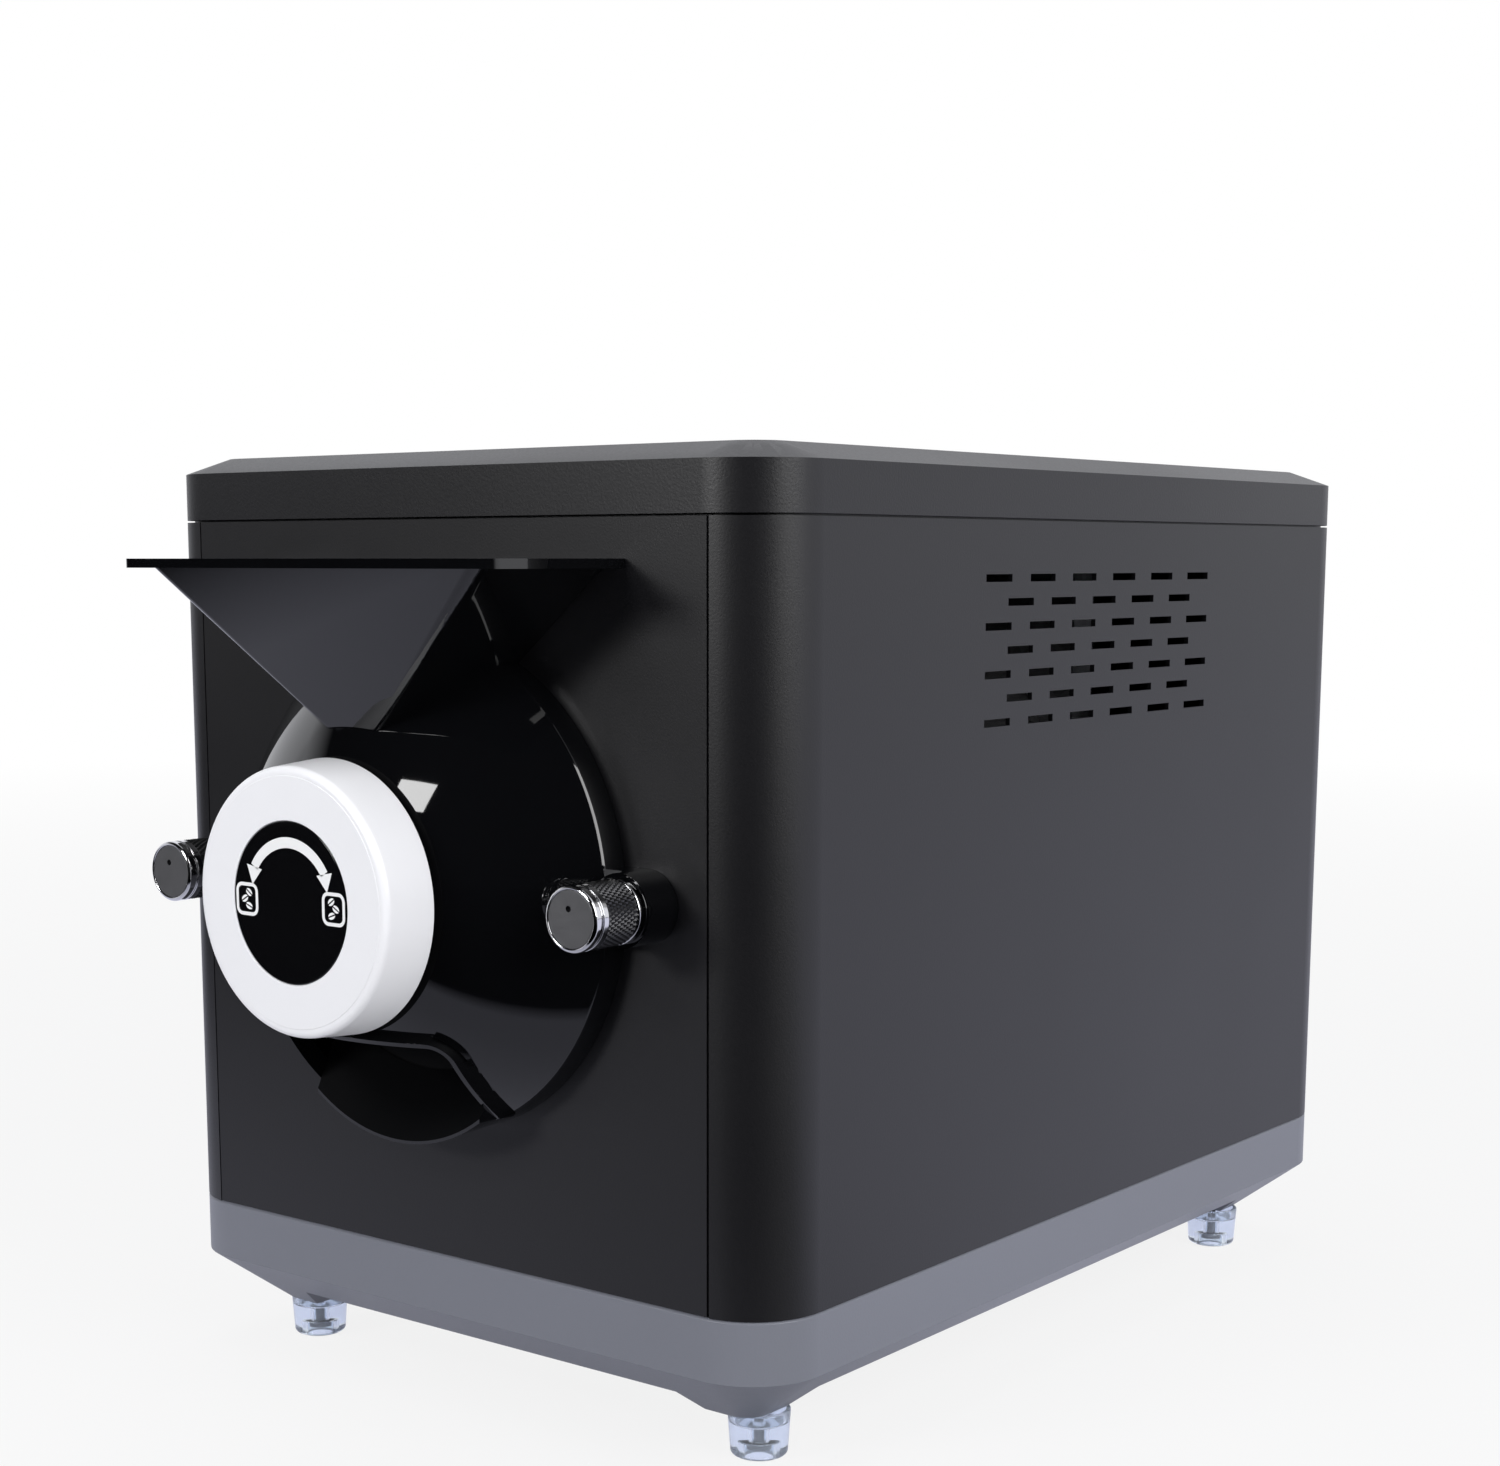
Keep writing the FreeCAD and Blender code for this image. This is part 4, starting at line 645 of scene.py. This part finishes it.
knob = {
    "bore": 5.0, "hub": 9.0, "hubBack": 44.5, "hubRound": 0.3, "rearReach": 43.3, "faceReach": 61.5,
    "rearRadius": 41.7, "faceRadius": 40.25, "rimRound": 2.2, "wall": 2.6, "faceWall": 2.9,
    "innerRound": 1.0, "backInner": 0.4, "backOuter": 0.6, "steps": 160, "cuts": 8,
    "ring": 37.6, "step": 0.18, "stepRound": 0.1,   # the middle of the face stands up by a hair
    "plateRadius": 24.2, "plateSink": 0.8, "plateRound": 0.35, "plateGap": 0.15,
    "plateDrop": 0.1, "plateEdge": 0.25, "plateCuts": 4,
}


def makeKnob():
    seat, face = knob["faceReach"] - knob["plateSink"], knob["faceReach"]
    inner, well = face - knob["faceWall"], knob["plateRadius"] + knob["plateGap"]
    profile = filleted([
        (knob["bore"], knob["hubBack"], 0), (knob["hub"], knob["hubBack"], knob["hubRound"]),
        (knob["hub"], inner, knob["innerRound"]),
        (knob["faceRadius"] - knob["wall"], inner, knob["innerRound"]),
        (knob["rearRadius"] - knob["wall"], knob["rearReach"], knob["backInner"]),
        (knob["rearRadius"], knob["rearReach"], knob["backOuter"]),
        (knob["faceRadius"], face - knob["step"], knob["rimRound"]),
        (knob["ring"], face - knob["step"], 0),
        (knob["ring"] - knob["step"], face, knob["stepRound"]),
        (well, face, knob["plateRound"]), (well, seat, 0), (knob["bore"], seat, 0)], knob["cuts"])
    addPiece("knob_finished", turned("knob", profile, knob["steps"]), "selector", "white_knob",
             node="selector_knob")
    front = face - knob["plateDrop"]
    plate = filleted([(0, seat, 0), (knob["plateRadius"], seat, 0),
                      (knob["plateRadius"], front, knob["plateEdge"]),
                      (0, front, 0)], knob["plateCuts"])
    addPiece("dial_plate", turned("dial_plate", plate, knob["steps"], closed=False), "selector",
             "dial_black", node="knob_face_plate")


makeKnob()


# Flat printing on the dial: outlines in millimetres round the knob's axis.
dial = {
    "arcRadius": 17.9, "band": 3.2, "arcEnd": 33.0, "headLength": 5.4, "headWidth": 6.6,
    "headCurl": 0.25, "headLean": 0.06, "arcSteps": 40, "roundSteps": 6, "beanSteps": 12,
    "iconX": 18.6, "iconZ": -0.2, "iconWidth": 9.6, "iconHeight": 9.9,
    "iconRound": 2.6, "line": 1.05, "lift": 0.03, "doubles": 0.001,
    "beanLong": 1.45, "beanShort": 1.0, "beanGap": 12,
    "beans": ((-0.9, 2.1, 35), (1.0, 0.1, -30), (-0.8, -2.0, 20)),      # across, up, tilt
}


def ringPoints(radius, start, end, count):
    turns = [math.radians(start + (end - start) * step / count) for step in range(count + 1)]
    return [(radius * math.cos(turn), radius * math.sin(turn)) for turn in turns]


def stripFaces(first, second):
    return [[first[k], first[k + 1], second[k + 1], second[k]] for k in range(len(first) - 1)]


def arrowShapes():
    start, end, middle = dial["arcEnd"], 180 - dial["arcEnd"], dial["arcRadius"]
    shapes = stripFaces(*(ringPoints(middle + side * dial["band"] / 2, start, end, dial["arcSteps"])
                          for side in (-1, 1)))
    for side in (1, -1):
        turn = math.radians(start)
        base = Vector((middle * math.cos(turn), middle * math.sin(turn)))
        along = Vector((math.sin(turn) * dial["headCurl"] + dial["headLean"], -1.0)).normalized()
        across = Vector((-along.y, along.x))
        corners = [base + across * dial["headWidth"] / 2, base - across * dial["headWidth"] / 2,
                   base + along * dial["headLength"]]
        shapes.append([(side * corner.x, corner.y) for corner in corners])
    return shapes


def roundedBox(centre, width, height, radius):
    points = []
    for cornerX, cornerZ, start in ((1, 1, 0), (-1, 1, 90), (-1, -1, 180), (1, -1, 270)):
        middleX = centre[0] + cornerX * (width / 2 - radius)
        middleZ = centre[1] + cornerZ * (height / 2 - radius)
        points += [(middleX + x, middleZ + z)
                   for x, z in ringPoints(radius, start, start + 90, dial["roundSteps"])]
    return points


def beanHalves(centre, tilt):
    halves = []
    turn, gap = math.radians(tilt), dial["beanGap"]
    for start in (0, 180):
        points = []
        for x, z in ringPoints(1.0, start + gap, start + 180 - gap, dial["beanSteps"]):
            bx, bz = x * dial["beanLong"], z * dial["beanShort"]
            points.append((centre[0] + bx * math.cos(turn) - bz * math.sin(turn),
                           centre[1] + bx * math.sin(turn) + bz * math.cos(turn)))
        halves.append(points)
    return halves


def iconShapes():
    shapes = []
    for side in (-1, 1):
        centre = (side * dial["iconX"], dial["iconZ"])
        width, height, line = dial["iconWidth"], dial["iconHeight"], dial["line"]
        outside = roundedBox(centre, width, height, dial["iconRound"])
        inside = roundedBox(centre, width - 2 * line, height - 2 * line, dial["iconRound"] - line)
        shapes += stripFaces(outside + outside[:1], inside + inside[:1])
        for dx, dz, tilt in dial["beans"]:
            shapes += beanHalves((centre[0] + side * dx, centre[1] + dz), side * tilt)
    return shapes


def makeDialPrint():
    top = knobFaceY + (knob["plateDrop"] - dial["lift"]) * mm

    def build(bm):
        for shape in arrowShapes() + iconShapes():
            bm.faces.new([bm.verts.new((x * mm, top, axisZ + z * mm)) for x, z in shape])
        bmesh.ops.remove_doubles(bm, verts=bm.verts, dist=dial["doubles"] * mm)
        bmesh.ops.recalc_face_normals(bm, faces=bm.faces)
        for face in bm.faces:
            if face.normal.y > 0:
                face.normal_flip()
        for item in bmesh.ops.extrude_face_region(bm, geom=list(bm.faces))["geom"]:
            if isinstance(item, bmesh.types.BMVert):
                item.co.y -= dial["lift"] * mm
    addPiece("dial_print", meshFrom("dial_print", build), "selector", "white_knob", "print_white")


makeDialPrint()
print("selector finished")


# Gives a call that adds a node: its settings, then its sockets in order or by name.
def treeMaker(tree):
    def make(kind, settings, *values, **named):
        made = tree.nodes.new(kind)
        for key, value in settings.items():
            setattr(made, key, value)
        given = list(zip([socket for socket in made.inputs if socket.enabled], values))
        for socket in made.inputs:
            key = socket.name.replace(" ", "")
            if key in named:
                given.append((socket, named[key]))
        for socket, value in given:
            if isinstance(value, bpy.types.NodeSocket):
                tree.links.new(value, socket)
            else:
                socket.default_value = value
        return made.outputs[0]
    return make


# A mesh as a tree of nodes leaves it, with its named inputs set.
def grown(mesh, tree, sizes):
    inputs = [(item.identifier, sizes[item.name]) for item in tree.interface.items_tree
              if item.in_out == "INPUT" and item.name in sizes]
    return settled(mesh, "NODES", {"node_group": tree}, inputs)


# Starts a tree with one output and its named inputs.
def startTree(name, inputs):
    tree = bpy.data.node_groups.new(name, "GeometryNodeTree")
    tree.interface.new_socket("Geometry", in_out="OUTPUT", socket_type="NodeSocketGeometry")
    for title, kind in inputs:
        tree.interface.new_socket(title, in_out="INPUT", socket_type="NodeSocket" + kind)
    make = treeMaker(tree)

    def maths(operation, *values):
        return make("ShaderNodeMath", {"operation": operation}, *values)
    return tree, make, maths, tree.nodes.new("NodeGroupInput").outputs


# Ends a tree: its instances become one mesh with the skin that it is given.
def endTree(tree, make, spread, skin):
    solid = make("GeometryNodeRealizeInstances", {}, spread)
    skinned = make("GeometryNodeSetMaterial", {}, solid, Material=skin)
    tree.links.new(skinned, tree.nodes.new("NodeGroupOutput").inputs[0])
    return tree


thumb = {
    "spread": 86.2, "tip": -12.0, "shank": 3.0, "bore": 4.0,
    "gripRadius": 9.3, "gripBack": 16.4, "gripFront": 28.8, "gripSteps": 72,
    "columns": 42, "rows": 9, "knurlHeight": 0.42, "ringBack": 13.8, "ringFront": 16.2,
    "ringRadius": 9.7, "capRadius": 9.7, "capBack": 28.9, "capFront": 34.9, "capLip": 1.2,
    "groove": (31.4, 32.3), "grooveRadius": 9.2, "softEnd": 0.6, "softBack": 0.4, "softCut": 0.15,
    "softBand": 0.25, "softCap": 0.9, "softLip": 0.3, "steps": 96, "cuts": 5,
    "seat": 34.1, "inlayFront": 34.7, "inlayGap": 0.1, "inlaySoft": 0.2, "inlayCuts": 3,
    "dimple": 0.95, "dimpleDepth": 0.5, "dimpleAt": (-0.8, 2.9), "dimpleEdge": 1.6,
    "dimpleSoft": 0.15, "dimpleAbove": 0.02,
}


# Diamond knurl: low four-sided points in staggered rings round the grip.
def knurlTree():
    tree, make, maths, given = startTree("knurl", (
        ("Columns", "Int"), ("Rows", "Int"), ("Radius", "Float"), ("Length", "Float"),
        ("Height", "Float"), ("Skin", "Material")))
    spots = make("GeometryNodePoints", {}, maths("MULTIPLY", given["Columns"], given["Rows"]))
    index = make("GeometryNodeInputIndex", {})
    row = maths("FLOOR", maths("DIVIDE", index, given["Columns"]))
    column = maths("SUBTRACT", index, maths("MULTIPLY", row, given["Columns"]))
    stagger = maths("MULTIPLY", maths("MODULO", row, 2.0), 0.5)
    share = maths("DIVIDE", maths("ADD", column, stagger), given["Columns"])
    angle = maths("MULTIPLY", share, 2 * math.pi)
    step = maths("DIVIDE", given["Length"], given["Rows"])
    along = maths("MULTIPLY", maths("ADD", row, 0.5), step)
    x = maths("MULTIPLY", maths("COSINE", angle), given["Radius"])
    z = maths("MULTIPLY", maths("SINE", angle), given["Radius"])
    place = make("ShaderNodeCombineXYZ", {}, x, along, z)
    placed = make("GeometryNodeSetPosition", {}, spots, Position=place)
    turn = make("ShaderNodeCombineXYZ", {}, 0.0, maths("SUBTRACT", math.pi / 2, angle), 0.0)
    point = make("GeometryNodeMeshCone", {}, Vertices=4, RadiusTop=0.0, RadiusBottom=1.0, Depth=1.0)
    sideways = maths("DIVIDE", maths("MULTIPLY", given["Radius"], math.pi), given["Columns"])
    size = make("ShaderNodeCombineXYZ", {}, sideways, step, given["Height"])
    spread = make("GeometryNodeInstanceOnPoints", {}, placed, Instance=point, Rotation=turn, Scale=size)
    return endTree(tree, make, spread, given["Skin"])


knurl = knurlTree()


# Moves the dimple from the inlay's middle to its own spot, and marks its faces for the dull black,
# which paints shade into the pit.
def moveDimple(mesh, centreX):
    across, up = (value * mm for value in thumb["dimpleAt"])
    for spot in mesh.vertices:
        if math.hypot(spot.co.x - centreX, spot.co.z - axisZ) < thumb["dimpleEdge"] * mm:
            spot.co.x += across
            spot.co.z += up
    # Painted shade: the dimple's raised faces are marked to turn dull black.
    dull = mesh.attributes.new("dull", "FLOAT", "FACE")
    for face in mesh.polygons:
        away = math.hypot(face.center.x - centreX - across, face.center.z - axisZ - up)
        raised = frontY - face.center.y > (thumb["seat"] + thumb["dimpleAbove"]) * mm
        dull.data[face.index].value = float(raised and away < thumb["dimple"] * mm)


def makeThumbScrew(side, word):
    x = side * thumb["spread"] * mm
    body = word + "_thumb_screw"
    bore, radius, back, front = (thumb[key] for key in ("bore", "gripRadius", "gripBack", "gripFront"))
    barrel = turned("barrel", [(bore, back), (radius, back), (radius, front), (bore, front)],
                    thumb["gripSteps"], x)
    sizes = {"Columns": thumb["columns"], "Rows": thumb["rows"], "Radius": radius * mm,
             "Length": (front - back) * mm, "Height": thumb["knurlHeight"] * mm,
             "Skin": finishes["grip_black"]}
    points = grown(bpy.data.meshes.new("carrier"), knurl, sizes)
    points.transform(Matrix.Translation((x, frontY - front * mm, axisZ)))
    bm = bmesh.new()
    bm.from_mesh(barrel)
    bm.from_mesh(points)
    addPiece(word + "_grip_finished", meshOf(word + "_grip", bm), body, "grip_black",
             node=word + "_thumb_grip")
    seat, inlayFront, capFront = thumb["seat"], thumb["inlayFront"], thumb["capFront"]
    ring, cap, groove = (thumb[key] for key in ("ringRadius", "capRadius", "grooveRadius"))
    (low, high), lip = thumb["groove"], cap - thumb["capLip"]
    shank, soft = thumb["shank"], thumb["softEnd"]
    profile = filleted([
        (0, thumb["tip"], 0), (shank, thumb["tip"], soft), (shank, thumb["ringBack"], 0),
        (ring, thumb["ringBack"], soft), (ring, thumb["ringFront"], soft),
        (bore, thumb["ringFront"], 0), (bore, thumb["capBack"], 0),
        (cap, thumb["capBack"], thumb["softBack"]), (cap, low, thumb["softBand"]),
        (groove, low, thumb["softCut"]), (groove, high, thumb["softCut"]),
        (cap, high, thumb["softBand"]), (cap, capFront, thumb["softCap"]),
        (lip, capFront, thumb["softLip"]), (lip, seat, 0), (0, seat, 0)], thumb["cuts"])
    addPiece(word + "_core_finished", turned(word + "_core", profile, thumb["steps"], x, False), body,
             "chrome", node=word + "_thumb_core")
    outer = lip - thumb["inlayGap"]
    inlay = filleted([(0, seat, 0), (outer, seat, 0), (outer, inlayFront, thumb["inlaySoft"]),
                      (thumb["dimple"], inlayFront, thumb["dimpleSoft"]),
                      (0, inlayFront - thumb["dimpleDepth"], 0)], thumb["inlayCuts"])
    inlay = turned(word + "_inlay", inlay, thumb["steps"], x, False)
    moveDimple(inlay, x)
    addPiece(word + "_inlay_finished", inlay, body, "inlay_grey", node=word + "_thumb_inlay")


for side, word in ((-1, "left"), (1, "right")):
    makeThumbScrew(side, word)
print("thumb screws finished")


foot = {
    "height": 14.8, "low": 8.9, "high": 9.9, "edge": 1.6, "bore": 2.2, "counter": 4.4,
    "counterTop": 4.5, "cupFloor": 10.2, "cupRadius": 8.1, "cupTop": 8.4,
    "counterSoft": 0.3, "counterEdge": 0.4, "topSoft": 0.5, "cupSoft": 0.3, "cupRound": 1.2,
    "steps": 72, "cuts": 5,
}


def makeFeet():
    low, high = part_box("feet")
    spots = [(x, y) for x in (low.x + foot["high"] * mm, high.x - foot["high"] * mm)
             for y in (low.y + foot["high"] * mm, high.y - foot["high"] * mm)]
    profile = filleted([
        (foot["bore"], foot["counterTop"], 0),
        (foot["counter"], foot["counterTop"], foot["counterSoft"]),
        (foot["counter"], 0, foot["counterEdge"]), (foot["low"], 0, foot["edge"]),
        (foot["high"], foot["height"], foot["topSoft"]),
        (foot["cupTop"], foot["height"], foot["cupSoft"]),
        (foot["cupRadius"], foot["cupFloor"], foot["cupRound"]),
        (foot["bore"], foot["cupFloor"], 0)], foot["cuts"])

    def build(bm):
        for x, y in spots:
            joinRings(bm, [[bm.verts.new((x + across, y + along, height * mm))
                            for across, along in circlePoints(radius, foot["steps"])]
                           for radius, height in profile])
    mesh = meshFrom("feet", build)
    markEdges(mesh, turnedEdge)
    addPiece("feet_finished", mesh, "cabinet", "clear_soft", node="feet")


makeFeet()
print("feet finished")


# Screws on the back
screw = {"radius": 3.2, "height": 1.85, "shank": 1.5, "arm": 3.6, "slot": 0.75, "recess": 1.0,
         "soft": 0.35, "softSteps": 3, "softAngle": 60, "headSides": 32, "shankSides": 16,
         "reach": {"rear_panel_screws": 3.0, "top_cover_screws": 4.4}}


headSizes = ("Radius", "Height", "Shank", "Arm", "Slot", "Recess")


# A pan head with a cross recess, set on every point of a mesh and facing +Y.
def screwTree():
    tree, make, maths, given = startTree("screws", (
        ("Spots", "Geometry"), ("Reach", "Float"), *((size, "Float") for size in headSizes),
        ("Skin", "Material")))

    def lifted(solid, height):
        return make("GeometryNodeTransform", {}, solid,
                    Translation=make("ShaderNodeCombineXYZ", {}, Z=height))

    def rod(sides, radius, depth):
        return make("GeometryNodeMeshCylinder", {}, Vertices=sides, Radius=radius, Depth=depth)

    head = rod(screw["headSides"], given["Radius"], given["Height"])
    head = lifted(head, maths("DIVIDE", given["Height"], 2.0))
    shank = rod(screw["shankSides"], given["Shank"], given["Reach"])
    shank = lifted(shank, maths("DIVIDE", given["Reach"], -2.0))
    deep = maths("MULTIPLY", given["Recess"], 2.0)
    cut = head
    for across, along in (("Arm", "Slot"), ("Slot", "Arm")):
        size = make("ShaderNodeCombineXYZ", {}, given[across], given[along], deep)
        bar = lifted(make("GeometryNodeMeshCube", {}, size), given["Height"])
        cut = make("GeometryNodeMeshBoolean", {"operation": "DIFFERENCE"}, cut, bar)
    whole = tree.nodes.new("GeometryNodeJoinGeometry")
    for part in (cut, shank):
        tree.links.new(part, whole.inputs[0])
    spread = make("GeometryNodeInstanceOnPoints", {}, given["Spots"], Instance=whole.outputs[0],
                  Rotation=(-math.pi / 2, 0.0, 0.0))
    return endTree(tree, make, spread, given["Skin"])


screws = screwTree()


# The middle of each loose piece of a CAD node, at the rear panel's face.
def screwSpots(node):
    bm = mergedCopy(node)
    left, spots = set(bm.verts), []
    while left:
        reached, edge = set(), [left.pop()]
        while edge:
            vert = edge.pop()
            reached.add(vert)
            for link in vert.link_edges:
                other = link.other_vert(vert)
                if other in left:
                    left.discard(other)
                    edge.append(other)
        xs, zs = [vert.co.x for vert in reached], [vert.co.z for vert in reached]
        spots.append(((min(xs) + max(xs)) / 2, rearY, (min(zs) + max(zs)) / 2))
    bm.free()
    return spots


def makeScrews(node, reach):
    carrier = bpy.data.meshes.new("carrier")
    carrier.from_pydata(screwSpots(node), [], [])
    sizes = {size: screw[size.lower()] * mm for size in headSizes}
    mesh = grown(carrier, screws, {"Reach": reach * mm, "Skin": finishes["screw_black"], **sizes})
    mesh = easedEdges(mesh, screw["soft"], screw["softSteps"], screw["softAngle"])
    addPiece(node + "_finished", mesh, "cabinet", "screw_black", node=node)


for node, reach in screw["reach"].items():
    makeScrews(node, reach)
print("rear screws finished")


studio = {
    "floorSize": 14.0, "floorDrop": 0.0002, "floorTone": (0.52, 0.52, 0.53), "floorRough": 0.9,
    "floorGlow": 0.86, "whiteReach": (0.7, 2.6),
    "worldTone": (0.82, 0.84, 0.90), "worldLight": 0.45, "mirrorTone": (0.95, 0.96, 1.0),
    "shine": (0.80, 0.81, 0.96),           # the table as polished pieces mirror it
    "edgeAcross": (0.77, -0.64, 0.0), "edgeAt": (0.27, 0.30),   # where that table ends, at the right
    "nearShade": (-0.10, 0.22), "shadeDepth": 0.42, "behind": (-0.12, 0.04),
    "frontReach": (0.64, 0.80), "frontLight": 0.86, "rearReach": (4.0, 9.0),
    "leftGlow": (0.58, 0.74), "leftLean": 0.45, "rearGlow": (-0.1, 0.3), "lowSky": (0.03, 0.12),
    "leftLight": 0.86, "dimLight": 0.006,
}


def ramp(value, edges):
    low, high = edges
    return ((value - low) / (high - low)).clipped()


# Whether a ray comes straight or through glass from the camera, and whether a gloss sends it.
def lightPaths(bench):
    seen = bench.add("ShaderNodeLightPath", {}, out="Is Camera Ray")
    seen = (seen + bench.add("ShaderNodeLightPath", {}, out="Is Transmission Ray")).clipped()
    return seen, bench.add("ShaderNodeLightPath", {}, out="Is Glossy Ray")


def makeFloor():
    half = studio["floorSize"]

    def build(bm):
        bm.faces.new([bm.verts.new((x * half, y * half, -studio["floorDrop"]))
                      for x, y in ((-1, -1), (1, -1), (1, 1), (-1, 1))])
    mesh = meshFrom("floor", build)
    bench = Bench("floor")
    seen, glossy = lightPaths(bench)
    away = bench.add("ShaderNodeVectorMath", {"operation": "LENGTH"}, bench.place, out="Value")
    across = bench.add("ShaderNodeVectorMath", {"operation": "DOT_PRODUCT"}, bench.place,
                       studio["edgeAcross"], out="Value")
    back = ramp(bench.add("ShaderNodeSeparateXYZ", {}, bench.place, out="Y"), studio["behind"])
    front = (1 - ramp(across, studio["edgeAt"])) * (1 - ramp(away, studio["frontReach"]))
    shaded = ramp(across, studio["nearShade"]) * studio["shadeDepth"]
    front = front * (1 - shaded) * studio["frontLight"]
    rear = 1 - ramp(away, studio["rearReach"])
    shine = (back * rear + (1 - back) * front).clipped()
    tone = bench.blend(glossy, (1, 1, 1, 1), studio["shine"] + (1,))
    glow = bench.add("ShaderNodeEmission", {}, tone, (glossy * shine + seen).clipped())
    share = ramp(away, studio["whiteReach"]) * (1 - studio["floorGlow"]) + studio["floorGlow"]
    share = (seen * share + glossy).clipped()
    bench.finish(Base_Color=studio["floorTone"] + (1,), Roughness=studio["floorRough"],
                 Specular_IOR_Level=0.0)
    lit = bench.add("ShaderNodeMixShader", {}, share, Flow(bench, bench.shader.outputs[0]), glow)
    bench.feed(bench.tree.nodes["Material Output"].inputs[0], lit)
    mesh.materials.append(bench.material)
    floor = bpy.data.objects.new("floor", mesh)
    scene.collection.objects.link(floor)


def makeWorld():
    world = bpy.data.worlds.new("studio")
    scene.world = world
    world.use_nodes = True
    bench = Bench.__new__(Bench)
    bench.tree = world.node_tree
    bench.tree.nodes.clear()
    towards = bench.add("ShaderNodeTexCoord", {}, out="Generated")
    seen, glossy = lightPaths(bench)
    height = bench.add("ShaderNodeSeparateXYZ", {}, towards, out="Z")
    left = bench.add("ShaderNodeSeparateXYZ", {}, towards, out="X") * -1.0 - height * studio["leftLean"]
    left = ramp(left, studio["leftGlow"])
    rear = ramp(bench.add("ShaderNodeSeparateXYZ", {}, towards, out="Y"), studio["rearGlow"])
    left = left * ramp(height, studio["lowSky"])
    glow = (left * studio["leftLight"] + rear).clipped() + studio["dimLight"]
    soft = bench.add("ShaderNodeBackground", {}, studio["worldTone"] + (1,), studio["worldLight"])
    mirrored = bench.add("ShaderNodeBackground", {}, studio["mirrorTone"] + (1,), glow)
    white = bench.add("ShaderNodeBackground", {}, (1, 1, 1, 1), 1.0)
    unseen = bench.add("ShaderNodeMixShader", {}, glossy, soft, mirrored)
    whole = bench.add("ShaderNodeMixShader", {}, seen, unseen, white)
    bench.feed(bench.tree.nodes.new("ShaderNodeOutputWorld").inputs[0], whole)


lamps = {
    "right_key": {"place": (2.0, -0.3, 1.2), "aim": (0.0, 0.0, 0.15), "size": (1.3, 1.6),
                  "power": 38.0},
    "front_fill": {"place": (-0.25, -0.95, 1.05), "aim": (0.0, -0.17, 0.24), "size": (0.7, 0.5),
                   "power": 1.2, "mirrored": False},
    "window": {"place": (-0.12, -1.44, 1.05), "aim": (0.03, -0.2, 0.2), "size": (0.40, 0.27),
               "power": 4.0},
    "far_window": {"place": (-0.68, -2.2, 0.80), "aim": (0.0, -0.2, 0.2), "size": (0.62, 0.34),
                   "power": 17.0},
    "top_soft": {"place": (-0.2, 0.1, 2.2), "aim": (0.0, 0.0, 0.2), "size": (1.4, 1.4), "power": 16.0,
                 "mirrored": False},
}


def makeLamps():
    for name, setting in lamps.items():
        data = bpy.data.lights.new(name, "AREA")
        data.shape = "RECTANGLE"
        data.size, data.size_y = setting["size"]
        data.energy = setting["power"]
        lamp = bpy.data.objects.new(name, data)
        lamp.location = setting["place"]
        lamp.visible_glossy = setting.get("mirrored", True)
        towards = Vector(setting["aim"]) - Vector(setting["place"])
        lamp.rotation_euler = towards.to_track_quat("-Z", "Y").to_euler()
        scene.collection.objects.link(lamp)


makeFloor()
makeWorld()
makeLamps()
scene.view_settings.view_transform = "Standard"
print("studio set")
